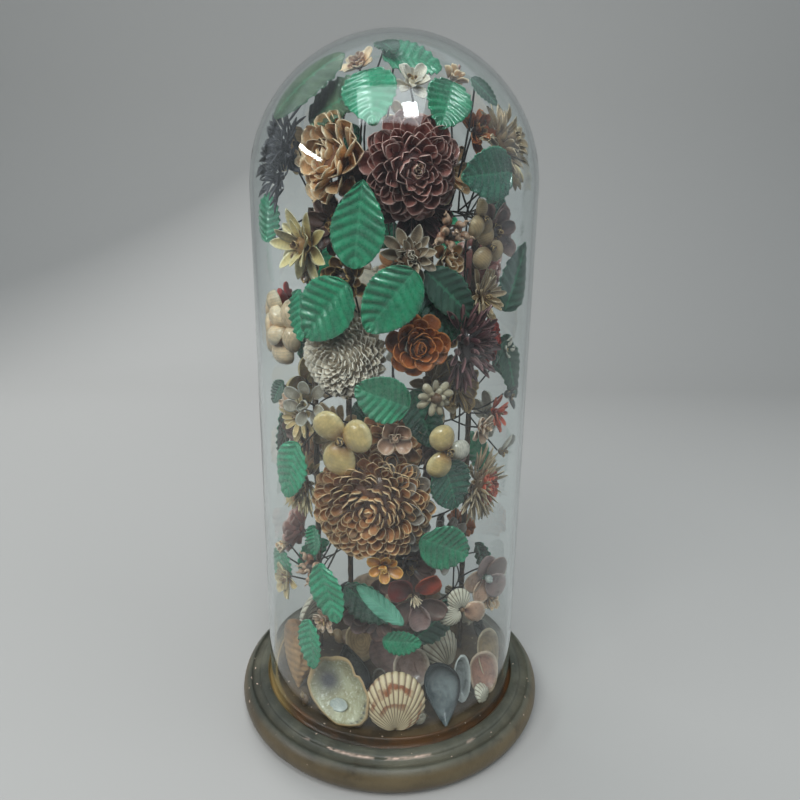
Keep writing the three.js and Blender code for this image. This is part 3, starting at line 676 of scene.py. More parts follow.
def keep_inside(mesh):
    """Bends in whatever comes too near the glass, and keeps it just above the inner disc."""
    points = points_of(mesh)
    rise = np.maximum(points[:, 2] - SPRING_LEVEL, 0)
    far = np.sqrt(points[:, 0] ** 2 + points[:, 1] ** 2 + rise ** 2)
    soft = 5.0
    start = FREE_RADIUS - soft
    over = np.maximum(far - start, 0)
    share = np.where(over > 0, (start + soft * (1 - np.exp(-over / soft))) / np.maximum(far, 1), 1)
    points[:, :2] *= share[:, None]
    points[:, 2] = np.where(rise > 0, SPRING_LEVEL + rise * share, points[:, 2])
    points[:, 2] = np.maximum(points[:, 2], REST_LEVEL)
    mesh.vertices.foreach_set("co", (points * MM).ravel())
    mesh.update()


def settle(name, parts, place, slot, nodes=(), inside=True):
    """Sets the parts' meshes at their place as one piece of the object."""
    first = linked(name, parts[0])
    others = [linked(name + "_part", part) for part in parts[1:]]
    if others:
        chosen = {"active_object": first, "selected_editable_objects": [first, *others]}
        with bpy.context.temp_override(**chosen):
            bpy.ops.object.join()
    first.data.transform(place)
    first.data.name = name
    if inside:
        keep_inside(first.data)
    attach(first, "root")
    if nodes:
        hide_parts(*nodes)
    return first


wire_ends = []


def wired(place, back=1.0):
    """Notes that a wire comes to the back of what is at this place."""
    wire_ends.append((place @ Vector((0, 0, -back * MM))) / MM)


# Base and glass

BASE_STEPS = 360
GLASS_STEPS = 144
CHIP_LEVEL = 22.2
# The chips along the shoulder's edge: their first and last bearing and how deep they go.
CHIPS = [(-22, -6, 1.0), (-1, 15, 1.2), (-34, -31, 0.6), (31, 34, 0.6), (118, 131, 0.9), (-150, -141, 0.8)]


def arc_points(centre, radii, first, last, count):
    """Points of an elliptic arc in the profile's plane, angles in degrees from outwards to up."""
    angles = [radians(first + (last - first) * i / count) for i in range(count + 1)]
    return [(centre[0] + radii[0] * cos(angle), centre[1] + radii[1] * sin(angle)) for angle in angles]


def turned_base():
    """The base's profile turned round, its shoulder chipped and its outside slightly rubbed down."""
    groove_floor = glass_low.z - 0.3
    shoulder = BASE_RADIUS - 13
    lip = GLASS_RADIUS + 1.7
    disc = GLASS_RADIUS - 3.6
    profile = [(0, 0), (BASE_RADIUS - 12.5, 0)]
    profile += arc_points((BASE_RADIUS - 12.5, 11.4), (12.5, 11.4), -78, 62, 14)
    profile += arc_points((BASE_RADIUS - 6.8, 20.9), (5.6, 0.7), -90, -180, 3)
    profile += arc_points((shoulder - 2.4, 21.2), (2.2, 2.2), 0, 78, 5)
    profile += [(lip + 0.8, 24), (lip, 23.4), (lip, groove_floor), (disc, groove_floor)]
    profile += [(disc, DISC_LEVEL - 1.6)]
    profile += arc_points((disc - 1.5, DISC_LEVEL - 1.5), (1.5, 1.5), 10, 90, 3)
    profile += [(disc * share, DISC_LEVEL) for share in (0.8, 0.55, 0.3)] + [(0, DISC_LEVEL)]
    rings = []
    marks = []
    for radius, level in profile:
        ring = []
        for step in range(BASE_STEPS if radius else 1):
            angle = 2 * pi * step / BASE_STEPS
            bearing = (degrees(angle) + 180) % 360 - 180
            ragged = noise.noise(Vector((sin(angle) * 40, cos(angle) * 40, level * 0.8)))
            on_edge = exp(-((radius - shoulder) / 0.9) ** 2) * exp(-((level - CHIP_LEVEL) / 0.9) ** 2)
            inside = sum(size for low, high, size in CHIPS if low < bearing + 3 * ragged < high)
            chip = min(max(on_edge * inside * (0.75 + ragged), 0), 1) if on_edge > 0.2 else 0
            wear_and_highlight = 0.12 * noise.noise(Vector((sin(angle) * 5, cos(angle) * 5, level * 0.1)))
            reach = radius - (0.7 * chip + abs(wear_and_highlight) if radius else 0)
            ring.append(polar(angle, reach, level - 0.35 * chip))
            marks.append(chip)
        rings.append(ring)
    return rounds("turned_base", rings, "base", mark=marks)


def glass_dome():
    """A glass wall with a rounded foot, its outside a little uneven."""
    foot = glass_low.z
    rise = 1.2

    def wall(radius):
        angles = [pi / 2 * i / 40 for i in range(40)]
        levels = [foot + rise + (SPRING_LEVEL - foot - rise) * i / 30 for i in range(30)]
        return [(radius, level) for level in levels] + [
            (radius * cos(angle), SPRING_LEVEL + radius * sin(angle)) for angle in angles]
    inner = GLASS_RADIUS - GLASS_WALL
    half = GLASS_WALL / 2
    rim = arc_points((GLASS_RADIUS - half, foot + rise), (half, rise), -180, 0, 6)[1:-1]
    profile = list(reversed(wall(inner))) + rim + wall(GLASS_RADIUS)
    rings = [[(0, 0, SPRING_LEVEL + inner)]]
    for radius, level in profile:
        ring = []
        for step in range(GLASS_STEPS):
            angle = 2 * pi * step / GLASS_STEPS
            spot = Vector((sin(angle) * 2.2, cos(angle) * 2.2, level * 0.012 + radius * 0.3))
            ripple = 0.1 * noise.noise(spot) - 0.1 if radius > inner + 1 else 0
            ring.append(polar(angle, radius + ripple, level))
        rings.append(ring)
    rings.append([(0, 0, GLASS_TOP)])
    return rounds("glass_dome", rings, "glass")


identity = Matrix.Identity(4)
settle("base_painted", [turned_base()], identity, "painted_wood", ["turned_base"], False)
settle("dome_clear", [glass_dome()], identity, "dome_glass", ["glass_dome"], False)

# Small whole forms


def snail(length, wide, turns, finish, steps=26, sides=9):
    """A coiled shell from its mouth to its tip along +Z."""
    rings = []
    along = []
    tube0 = wide * 0.34
    for step in range(steps + 1):
        share = step / steps
        fade = (1 - share) ** 1.15
        angle = 2 * pi * turns * share
        tube = tube0 * fade + 0.06
        coil = (wide / 2 - tube0) * fade
        level = length * (1 - fade) + tube0 * 0.8
        centre = Vector((coil * cos(angle), coil * sin(angle), level))
        out = Vector((cos(angle), sin(angle), 0))
        ways = [2 * pi * side / sides for side in range(sides)]
        rings.append([tuple(centre + out * (tube * cos(way)) + Vector((0, 0, tube * 1.15 * sin(way))))
                      for way in ways])
        along += [share] * sides
    mouth = [tuple(Vector(rings[0][0]).lerp(Vector(rings[0][sides // 2]), 0.5))]
    tip = [tuple(Vector(rings[-1][0]).lerp(Vector(rings[-1][sides // 2]), 0.5))]
    return rounds("snail", [mouth, *rings, tip], finish, along=[0.0, *along, 1.0])


def bead(radius, finish, squash=1.0, sides=10, along=0.7):
    """A round grain or seed."""
    ways = [2 * pi * k / sides for k in range(sides)]
    rings = [[(0, 0, -radius * squash)]]
    for i in range(1, 6):
        size, level = radius * sin(pi * i / 6), -radius * squash * cos(pi * i / 6)
        rings.append([(size * cos(way), size * sin(way), level) for way in ways])
    rings.append([(0, 0, radius * squash)])
    count = 2 + 5 * sides
    return rounds("bead", rings, finish, along=[along] * count, tone=[0.5] * count)


def dish(name, long, wide, deep, finish, wall=1.4, ear=0.0, rough=0.0, rings=7, spokes=28, marks=None,
         square=1.0):
    """An oval or ear-shaped dish, hollow towards +Z, with a rough underside."""
    def spot(angle, share, level):
        swell = 1 + ear * exp(-((angle - 0.45) / 0.32) ** 2) - ear * exp(-(angle / 0.2) ** 2)
        x = copysign(abs(cos(angle)) ** square, cos(angle))
        y = copysign(abs(sin(angle)) ** square, sin(angle))
        ragged = 1 + rough * noise.noise(Vector((cos(angle) * 3, sin(angle) * 3, share * 2)))
        return (wide / 2 * share * swell * x * ragged, long / 2 * share * swell * y * ragged, level)
    angles = [2 * pi * k / spokes for k in range(spokes)]
    shares = [(i + 1) / rings for i in range(rings)]
    inner = [[spot(angle, share * 0.95, wall + (deep - wall) * share ** 2.4) for angle in angles]
             for share in shares]
    outer = []
    for share in reversed(shares):
        level = (deep - wall * 0.6) * share ** 2.4
        lumps = [4 * rough * noise.noise(Vector((angle * 3, share * 9, 4))) * share for angle in angles]
        outer.append([spot(angle, share, level + lump) for angle, lump in zip(angles, lumps)])
    count = 2 + 2 * rings * spokes
    edge = [0.0] + [share * 0.97 for share in shares for _ in angles]
    edge += [1.0] * (count - len(edge))
    values = {"edge": edge, "along": [1 - 0.6 * each for each in edge]}
    points = [(0, 0, wall)] + [point for ring in inner + outer for point in ring] + [(0, 0, 0.2)]
    values["mark"] = [marks(*point) if marks else 0.0 for point in points]
    rows = [[points[0]], *inner, *outer, [points[-1]]]
    return rounds(name, rows, finish, **values)


# Flowers


def cups(radius, deep, finish, petals, rows, long=0.5, wide=0.44, reach=(0.06, 0.55), lean=(8, 84),
         size=(0.55, 1.0), top=0.62, bottom=0.1, spread=0.9, wall=0.5, **form):
    """Rows of cupped petals on a domed head."""
    jitter = form.pop("jitter", 1.0)
    start = form.pop("start", 0)
    arc = form.pop("arc", 360)
    shape = {"belly": 1.25, "blunt": 0.5, "cup": 0.34, "curl": 0.16, **form}
    petal = slab("petal", petal_face(long * radius, wide * radius, **shape), wall, finish)
    return spray(petal, finish, petals, rows, (reach[0] * radius, reach[1] * radius),
                 (top * deep, bottom * deep), lean, size, spread, start, arc=arc, jitter=jitter)


def spiral(radius, deep, finish, count, long=0.4, wide=0.3, reach=(0.03, 0.7), lean=(6, 92),
           size=(0.5, 1.0), top=0.7, bottom=0.1, spread=0.55, wall=0.5, grid=(6, 4), **form):
    """Cupped petals on one golden spiral over a domed head."""
    jitter = form.pop("jitter", 1.0)
    shape = {"belly": 1.3, "blunt": 0.5, "cup": 0.36, "curl": 0.14, **form}
    petal = slab("petal", petal_face(long * radius, wide * radius, **shape), wall, finish, *grid)
    return spray(petal, finish, 1, count, (reach[0] * radius, reach[1] * radius),
                 (top * deep, bottom * deep), lean, size, spread, 0, GOLDEN_ANGLE, 360, jitter)


def pointed(radius, deep, finish, petals, rows, long=0.8, wide=0.26, lean=(45, 84), size=(0.7, 1.0),
            reach=(0.08, 0.18), **rest):
    return cups(radius, deep, finish, petals, rows, long, wide, reach, lean, size,
                **{"belly": 0.95, "blunt": 0.75, "cup": 0.28, "curl": 0.12, "tip": 0.04, **rest})


def valves(radius, deep, finish, petals, start=0, arc=360, long=0.98, wide=0.86, gap=0.05, lean=88,
           dome=0.62):
    """Plump valves round a middle."""
    petal = slab("valve", dome_face(long * radius, wide * radius, dome * deep), 0.7, finish, 11, 9)
    return spray(petal, finish, petals, 1, (gap * radius, gap * radius), (0.12 * deep, 0.12 * deep),
                 (lean, lean), (1, 1), 1, start, arc=arc, jitter=0.7)


def fans(radius, finish, petals, start=0, arc=360):
    """Small ribbed cockle valves round a middle."""
    ribs = 13
    marks = {"rib": lambda u, v: rib_at(ribs, v)}
    face = valve_face(0.95 * radius, 0.95 * radius, 3.0, ribs, 0.4)
    petal = slab("fan", face, 0.6, finish, 8, 4 * ribs, True, marks)
    return spray(petal, finish, petals, 1, (0.1 * radius, 0.1 * radius), (1.5, 1.5), (86, 86), (1, 1), 1,
                 start, arc=arc, jitter=0.6)


def core(deep, radius, finish, level):
    return moved(bead(radius, finish, 0.8), shift=(0, 0, level * deep))


def pad(radius, deep, finish="wire", share=0.45):
    """The dark pad that the petals are glued to."""
    size = radius * share
    return moved(bead(size, finish, 0.45 * deep / size, 16, 0.0), shift=(0, 0, deep * 0.4))


def stamens(radius, level, count):
    petal = slab("stamen", petal_face(0.3 * radius, 0.9, blunt=0.3, cup=0.1), 0.5, "cream", 3, 1)
    return spray(petal, "cream", count, 1, (0.6, 0.6), (level, level), (20, 60), (1, 1), jitter=1.6)


def tan_rose(r, d):
    return [cups(r, d, "tan", 8, 7, 0.56, 0.58, (0.03, 0.52), (4, 80), (0.5, 1.02), 0.5, 0.08, cup=0.4,
                 curl=0.28), pad(r, d, "tan"), core(d, 2.4, "tan", 0.66)]


def plum_dahlia(r, d):
    return [spiral(r, d, "plum", 104, 0.44, 0.45, (0.03, 0.66), (6, 92), (0.5, 1.02), 0.72, 0.12, cup=0.42,
                   curl=0.2), pad(r, d, "plum", 0.62),
            spiral(r, d, "pink", 7, 0.16, 0.14, (0.01, 0.08), (5, 40), top=0.95, bottom=0.86)]


def black_aster(r, d):
    scales = {"belly": 0.9, "blunt": 0.8, "tip": 0.03, "cup": 0.24, "curl": 0.2, "jag": 0.5, "jitter": 1.8}
    parts = [pad(r, d, "black", 0.3)]
    for x, y, share in ((0, 0.42, 0.62), (-0.1, -0.1, 0.66), (0.16, -0.56, 0.5), (0.3, 0.1, 0.5)):
        tuft = spiral(r * share, d, "black", 32, 0.76, 0.3, (0.02, 0.5), (20, 100), (0.7, 1.05), **scales)
        parts.append(moved(tuft, shift=(x * r, y * r, 0)))
    return parts


def tan_aster(r, d):
    return [pointed(r, d, "tan_dry", 12, 4, 0.64, 0.22, (20, 90), (0.75, 1), (0.08, 0.34), top=0.5, jag=0.2,
                    ruffle=0.02, cup=0.36, jitter=1.5), pad(r, d, "tan_dry", 0.35)]


def yellow_daisy(r, d):
    return [pointed(r, d, "yellow", 8, 2, 0.96, 0.4, (58, 84), (0.8, 1), (0.1, 0.14), top=0.4),
            cups(r, d, "brown", 6, 2, 0.3, 0.26, (0.05, 0.2), (15, 60), (0.7, 1), 0.62, 0.35),
            pad(r, d, "yellow", 0.25)]


def brown_cup_flower(r, d):
    return [cups(r, d, "brown", 7, 4, 0.56, 0.5, (0.05, 0.48), (6, 80), (0.6, 1), 0.5, 0.1, cup=0.5,
                 bowl=0.12), pad(r, d, "brown", 0.4)]


def grey_daisy(r, d):
    return [pointed(r, d, "grey", 11, 2, 0.66, 0.36, (58, 84), (0.8, 1), (0.18, 0.34), top=0.4, cup=0.5,
                    bowl=0.05),
            pointed(r, d, "grey", 6, 3, 0.42, 0.28, (4, 40), (0.7, 1), (0.02, 0.16), top=0.6, cup=0.5),
            pad(r, d, "grey", 0.4)]


def valve_flower(finish, petals, odd=None, start=0):
    """A flower of plump valves, one of them of another kind where odd names it."""
    def build(r, d):
        full = petals - (1 if odd else 0)
        wide = min(0.98, 1.9 * sin(pi / petals) / 1.7)
        parts = [valves(r, d, finish, full, start, 360 * full / petals, wide=wide)]
        if odd:
            parts.append(valves(r, d, odd, 1, start + 360 * full / petals, wide=wide * 0.85))
        middle = cups(r, d, "brown", 5, 2, 0.16, 0.16, (0.02, 0.06), (8, 40), (0.8, 1), 0.55, 0.45)
        return parts + [middle, pad(r, d, "brown", 0.14)]
    return build


def pompon(count):
    def build(r, d):
        return [spiral(r, d, "white", count, 0.2, 0.19, (0.02, 0.86), (6, 78), (0.85, 1.05), 0.74, 0.1, 0.52,
                       0.5, grid=(5, 2), belly=0.78, blunt=0.7, tip=0.02, cup=0.3, curl=0.12, jitter=0.7),
                moved(bead(r * 0.84, "white", 0.54 * 1.5 * d / r, 20, 0.4), shift=(0, 0, 0.07 * d))]
    return build


def orange_rose(r, d):
    return [cups(r, d, "orange", 7, 6, 0.56, 0.66, (0.02, 0.46), (2, 82), (0.45, 1.02), 0.5, 0.08,
                 cup=0.26, curl=0.24, ruffle=0.05, wall=0.35), pad(r, d, "orange", 0.4)]


def maroon_dahlia(r, d):
    return [pointed(r, d, "maroon", 14, 7, 0.5, 0.16, (8, 96), (0.7, 1), (0.03, 0.5), top=0.6, cup=0.5,
                    curl=0.2, jitter=1.6), pad(r, d, "maroon", 0.5)]


def red_rose(r, d):
    return [cups(r, d, "red", 7, 5, 0.55, 0.55, (0.03, 0.46), (4, 80), (0.5, 1), 0.5, 0.1), pad(r, d, "red")]


def cream_clams(r, d):
    return [valves(r, d, "cream", 6, 0, wide=0.82, long=0.74, gap=0.3, lean=84),
            valves(r, d, "cream", 3, 30, wide=0.7, long=0.6, gap=0.04, lean=60),
            pad(r, d, "cream", 0.3)]


def jingle_flower(r, d):
    oval = {"belly": 1.0, "blunt": 0.45, "cup": 0.12, "curl": 0.02, "wall": 0.4}
    return [cups(r, d, "jingle", 7, 1, 0.62, 0.5, (0.34, 0.38), (82, 82), (1, 1), 0.3, 0.3, **oval),
            cups(r, d, "jingle", 4, 1, 0.34, 0.3, (0.06, 0.06), (40, 50), (1, 1), 0.5, 0.5),
            core(d, 1.8, "straw", 0.5)]


def pink_cups(r, d):
    return [cups(r, d, "pink", 4, 1, 0.86, 0.86, (0.14, 0.14), (74, 76), (1, 1), 0.2, 0.2, cup=0.36,
                 bowl=0.14, start=45), cups(r, d, "pink", 4, 2, 0.34, 0.34, (0.02, 0.12), (4, 40), (0.8, 1),
                                            0.6, 0.4, cup=0.5)]


def beige_daisy(r, d):
    return [valves(r, d, "straw_grey", 9, long=0.66, wide=0.36, gap=0.3, lean=82, dome=0.3),
            valves(r, d, "straw_grey", 6, 20, long=0.5, wide=0.3, gap=0.1, lean=56, dome=0.3),
            pad(r, d, "grey", 0.3)]


def chrysanthemum(r, d):
    smoky = {"belly": 1.1, "blunt": 0.5, "cup": 0.2, "curl": 0.06, "wall": 0.5}
    return [spiral(r, d, "rust", 210, 0.3, 0.24, (0.04, 0.76), (22, 88), (0.8, 1.05), 0.74, 0.12, 0.56,
                   cup=0.34, curl=0.2, bowl=0.14, blunt=0.6, jitter=0.8),
            cups(r, d, "smoky", 6, 2, 0.36, 0.28, (0.62, 0.76), (70, 84), (0.9, 1), 0.5, 0.3, start=18,
                 arc=125, **smoky),
            core(d, 3.2, "tan", 0.9), pad(r, d, "rust", 0.7)]


def amber_flower(r, d):
    return [cups(r, d, "amber", 6, 1, 0.8, 0.62, (0.2, 0.2), (72, 78), (1, 1), 0.3, 0.3, cup=0.3, wall=0.4),
            cups(r, d, "amber", 4, 1, 0.46, 0.46, (0.1, 0.1), (16, 40), (1, 1), 0.5, 0.5, start=30),
            core(d, 1.5, "brown", 0.5)]


def fringe_flower(r, d):
    return [pointed(r, d, "straw", 26, 3, 0.6, 0.12, (60, 90), (0.9, 1), (0.24, 0.4), top=0.3, cup=0.4),
            spiral(r, d, "rust", 70, 0.22, 0.2, (0.02, 0.4), (10, 70), (0.7, 1), top=0.7, bottom=0.4),
            pad(r, d, "straw", 0.4)]


def beige_aster(r, d):
    return [pointed(r, d, "tan_dry", 26, 4, 0.58, 0.11, (54, 92), (0.8, 1), (0.16, 0.44), top=0.45, cup=0.4,
                    jitter=1.2), spiral(r, d, "coral_red", 40, 0.22, 0.2, (0.02, 0.3), (8, 60), top=0.8,
                                        bottom=0.55), pad(r, d, "tan_dry", 0.45)]


def red_petals(r, d):
    form = {"long": 0.72, "wide": 0.62, "cup": 0.34, "bowl": 0.1, "curl": 0.06, "belly": 1.1}
    shades = [("dark_red", -52), ("coral_red", 34), ("dark_mauve", 118), ("mauve", 168),
              ("dark_mauve", -128)]
    parts = [cups(r, d, finish, 1, 1, reach=(0.22, 0.22), lean=(76, 76), size=(1, 1), top=0.2, bottom=0.2,
                  start=start, jitter=0.4, **form) for finish, start in shades]
    return parts + [stamens(r, 0.3 * d, 16), core(d, 1.8, "dark_mauve", 0.3)]


def cockle_flower(r, d):
    return [fans(r, "pale_ribs", 2, -20, -200), fans(r, "pink", 1, 100), core(d, 1.8, "brown", 0.4)]


def disc_flower(r, d):
    flat = {"long": 0.96, "wide": 0.96, "cup": 0.08, "curl": 0.0, "belly": 1.0, "wall": 0.6}
    shades = [("mauve", -8), ("dark_mauve", 58), ("mauve", 134), ("pink", -164), ("pink", -88)]
    parts = []
    for finish, start in shades:
        level = 0.3 + 0.1 * (start % 4)
        parts.append(cups(r, d, finish, 1, 1, reach=(0.12, 0.12), lean=(84, 84), size=(1, 1), top=level,
                          bottom=level, start=start, jitter=0.5, **flat))
    return parts + [moved(snail(5, 8, 2.2, "scar"), shift=(0, 0, 0.5 * d))]


def crown_bloom_left(r, d):
    return [cups(r, d, "cream", 7, 1, 0.76, 0.56, (0.24, 0.24), (78, 82), (1, 1), 0.3, 0.3, cup=0.22),
            cups(r, d, "pink", 6, 3, 0.36, 0.3, (0.04, 0.24), (10, 60), (0.8, 1), 0.6, 0.3),
            pad(r, d, "pink", 0.3)]


def crown_bloom_right(r, d):
    return [cups(r, d, "tan", 6, 3, 0.72, 0.6, (0.06, 0.3), (6, 62), (0.6, 1), 0.4, 0.1, cup=0.4),
            cups(r, d, "plum", 4, 1, 0.4, 0.34, (0.06, 0.06), (10, 20), (1, 1), 0.6, 0.6)]


def snail_bunch(r, d):
    """Small coiled snails in a bunch."""
    count, size = 8, 8
    parts = [pad(r, d, "brown", 0.35)]
    for step in range(count):
        angle = GOLDEN_ANGLE * step
        out = sqrt(step / count)
        one = moved(snail(size * 1.3, size, 2.4, "peach"), shift=(0, 0, -size * 0.5))
        one = moved(one, (-78 * out, 0, 0))
        x, y = 0.72 * r * out * sin(radians(angle)), 0.72 * r * out * cos(radians(angle))
        parts.append(moved(one, (0, 0, -angle), (x, y, 0.45 * d)))
    return parts


def loose(finish, petals, rows, long, wide, lean=(60, 82)):
    """A plain open flower of a few petals."""
    def build(r, d):
        return [cups(r, d, finish, petals, rows, long, wide, (0.12, 0.2), lean, (0.8, 1), 0.45, 0.2),
                cups(r, d, "brown", 5, 2, 0.26, 0.22, (0.02, 0.12), (8, 50), (0.7, 1), 0.7, 0.4),
                pad(r, d, finish, 0.22)]
    return build


BLOOMS = {
    "crown_bloom_left": (crown_bloom_left, "shell_cream"),
    "crown_bloom_right": (crown_bloom_right, "shell_pink"),
    "tan_rose": (tan_rose, "shell_tan"), "plum_dahlia": (plum_dahlia, "shell_plum"),
    "black_aster": (black_aster, "shell_black"), "tan_aster": (tan_aster, "shell_tan"),
    "yellow_daisy": (yellow_daisy, "shell_yellow"), "brown_cup_flower": (brown_cup_flower, "shell_brown"),
    "grey_daisy": (grey_daisy, "shell_grey"),
    "olive_clam_flower": (valve_flower("olive", 3), "shell_grey"),
    "white_pompon": (pompon(400), "shell_white"), "orange_rose": (orange_rose, "shell_orange"),
    "maroon_dahlia": (maroon_dahlia, "shell_maroon"), "red_rose": (red_rose, "shell_red"),
    "cream_clam_flower": (cream_clams, "shell_cream"), "jingle_flower": (jingle_flower, "shell_grey"),
    "yellow_clam_flower": (valve_flower("clam", 3, start=-45), "shell_yellow"),
    "pink_cup_flower": (pink_cups, "shell_pink"),
    "white_clam_flower": (valve_flower("clam", 3, odd="white_clam", start=210), "shell_cream"),
    "beige_daisy": (beige_daisy, "shell_grey"), "brown_chrysanthemum": (chrysanthemum, "shell_brown"),
    "amber_flower": (amber_flower, "shell_amber"), "fringe_flower": (fringe_flower, "shell_tan"),
    "beige_aster": (beige_aster, "shell_tan"), "red_petal_flower": (red_petals, "shell_red"),
    "cockle_flower": (cockle_flower, "shell_white"), "disc_flower": (disc_flower, "shell_pink"),
    "back_rose_upper": (tan_rose, "shell_tan"), "back_dahlia_right": (plum_dahlia, "shell_plum"),
    "back_pompon": (pompon(220), "shell_white"),
    "back_clam_flower": (valve_flower("clam", 4), "shell_yellow"),
    "back_daisy": (grey_daisy, "shell_grey"), "back_chrysanthemum": (chrysanthemum, "shell_brown"),
}

# How far some flowers turn from their solid's way out, in degrees about the upright axis.
AIMS = {"cream_clam_flower": 34, "jingle_flower": 26, "cockle_flower": -26, "tan_aster": -14,
        "black_aster": 12, "beige_aster": -12, "fringe_flower": 12, "red_rose": -14}

for node, (build, slot_name) in BLOOMS.items():
    out, back, radius, deep = solid_of(node)
    out.rotate(Matrix.Rotation(radians(AIMS.get(node, 0)), 3, "Z"))
    place = look(back, out)
    settle(node + "_shells", build(radius, deep), place, slot_name, [node])
    wired(place)

# Leaves

LEAF_REACH = 91
LEAF_FOLD = 0.17


def leaf_face(long, wide, belly, turn, domed, seed):
    """A toothed leaf from its stalk at -Y to its tip at +Y, pressed with veins."""
    teeth = 19
    pairs = 8

    def vein_at(u, v):
        phase = (u - 0.16 * abs(v) - 0.03) * pairs
        side = exp(-((phase % 1 - 0.5) / 0.13) ** 2) * (1 - abs(v) ** 3) if 0.04 < u < 0.95 else 0
        middle = exp(-(v * wide / 2 / 0.55) ** 2)
        return max(0.8 * side, middle)

    def face(u, v):
        swell = sin(pi * min(max(u, 0), 1) ** belly) ** 0.62 if 0 < u < 1 else 0
        tooth = 1 + 0.05 * (((u * teeth) % 1) - 0.5) * abs(v) ** 3
        half = wide / 2 * (0.015 + 0.985 * swell) * tooth
        x = v * half
        y = long * (u - 0.5)
        sideways = x * cos(turn) + y * sin(turn)
        upward = y * cos(turn) - x * sin(turn)
        bend = -(sideways ** 2 + (upward ** 2 if domed else 0)) / (2 * LEAF_REACH)
        ridge = 0.75 * sin(2 * pi * (u - 0.16 * abs(v)) * pairs) * (abs(v) + 0.2) - 0.5 * vein_at(u, v)
        wave = 1.1 * noise.noise(Vector((x * 0.05, y * 0.05, seed))) * (abs(v) + 0.3)
        return (x, y, bend + ridge + wave + LEAF_FOLD * abs(x) - 0.2 * LEAF_FOLD * wide / 2)
    return face, vein_at


def leaf(name, long, wide, finish, belly, turn, domed=False, fine=True):
    face, vein_at = leaf_face(long, wide, belly, turn, domed, rng.random() * 9)
    marks = {"vein": vein_at, "flat": lambda u, v: (v * wide / 2, u * long, 0.0)}
    along, across = (76, 18) if fine else (57, 12)
    return slab(name, face, 0.5, finish, along, across, True, marks)


# Each leaf's stalk-to-tip way, clockwise from up, its length and width, and its finish.
# The lighter and darker greens are painted light and painted shade.
LEAVES = {
    "leaf_crown": (96, 40, 30, "leaf_bright"), "leaf_top_left": (168, 40, 32, "leaf_bright"),
    "leaf_top_right": (205, 36, 28, "leaf"), "leaf_round_right": (262, 42, 31, "leaf_deep"),
    "leaf_centre": (186, 50, 33, "leaf"), "leaf_mid_left": (222, 46, 37, "leaf"),
    "leaf_mid": (218, 46, 34, "leaf"), "leaf_lower_mid": (290, 36, 30, "leaf"),
    "leaf_left_low": (196, 44, 29, "leaf_bright"), "leaf_right_low": (160, 38, 33, "leaf_deep"),
    "leaf_right_lower": (118, 41, 31, "leaf"), "leaf_low_left": (162, 44, 27, "leaf_bright"),
    "leaf_slant": (-54, 42, 13, "leaf_pale"),
}
LEAF_BELLY = 0.82
BROAD_TIPPED_BELLY = 1.25


def leaf_wire(place, long):
    wired(place @ Matrix.Translation((0, -0.3 * long * MM, 0)), 3.2)


for node, (spin, long, wide, finish) in LEAVES.items():
    out, back, _, thick = solid_of(node)
    place = look(back + out * thick * 0.7, out, spin)
    domed = node in ("leaf_crown", "leaf_top_left", "leaf_top_right")
    belly = BROAD_TIPPED_BELLY if node == "leaf_centre" else LEAF_BELLY
    made = leaf(node, long, wide, finish, belly, radians(spin), domed)
    settle(node + "_cloth", [made], place, "waxed_cloth", [node])
    leaf_wire(place, long)

# Whole shells on the disc

STAND_HEIGHT = 60
STAND_REACH = 80


def stand(name, mesh, place, slot, middle, nodes=()):
    """Leans a shell at its place and lets it down on the disc, its box's middle over this one."""
    piece = settle(name, [mesh], place, slot, nodes)
    points = points_of(piece.data)
    low, high = points.min(axis=0), points.max(axis=0)
    shift = middle - Vector((low + high) / 2)
    shift.z = REST_LEVEL - low[2]
    piece.data.transform(Matrix.Translation(shift * MM))
    keep_inside(piece.data)
    return piece


def ormer_painted_shade(x, y, z):
    """Painted shade where the holes are and in the hollow of the spire."""
    def near(spot, size):
        return exp(-((Vector((x, y)) - Vector(spot)).length / size) ** 2)
    holes = [radians(-114 + 15 * step) for step in range(5)]
    hole = max(near((17.8 * cos(angle), 23.4 * sin(angle)), 1.2) for angle in holes)
    return min(hole * 1.3 + near((-2, 14), 9.5) * 1.1, 1.0)


def ormer_mesh(long, wide, deep):
    return dish("ormer", long, wide, deep, "nacre", 1.6, 0.1, 0.07, 18, 72, ormer_painted_shade)


def rock_mesh(long, wide, deep):
    """A swollen, knobbed whorl with spiral ridges and a drawn-out canal."""
    rows, sides = 46, 40
    rings = [[(0, long / 2, deep / 2)]]
    along = [0.0]
    for i in range(1, rows):
        share = i / rows
        swell = sin(pi * share ** 0.9) ** 0.62 * (1 - 0.55 * max(share - 0.62, 0) / 0.38)
        ring = []
        for k in range(sides):
            angle = 2 * pi * k / sides
            rib = 0.05 * sin(share * 76 + angle) + 0.13 * abs(sin(4 * angle + share * 5)) ** 1.5
            lump = 0.2 * noise.noise(Vector((cos(angle) * 6, share * 17, sin(angle) * 6)))
            size = swell * (0.92 + rib + lump)
            ring.append((wide / 2 * size * sin(angle), long * (0.5 - share),
                         deep / 2 * (1 + size * cos(angle))))
            along.append(share)
        rings.append(ring)
    rings.append([(0, -long / 2, deep / 2)])
    along.append(1.0)
    return rounds("rock_shell", rings, "rock", along=along, tone=[0.5] * len(along))


def cockle_mesh(long, wide, deep, ribs, finish, rib):
    face = valve_face(long, wide, deep, ribs, rib)
    marks = {"rib": lambda u, v: rib_at(ribs, v)}
    return moved(slab("cockle", face, 1.2, finish, 22, ribs * 6, True, marks), shift=(0, -long / 2, 0))


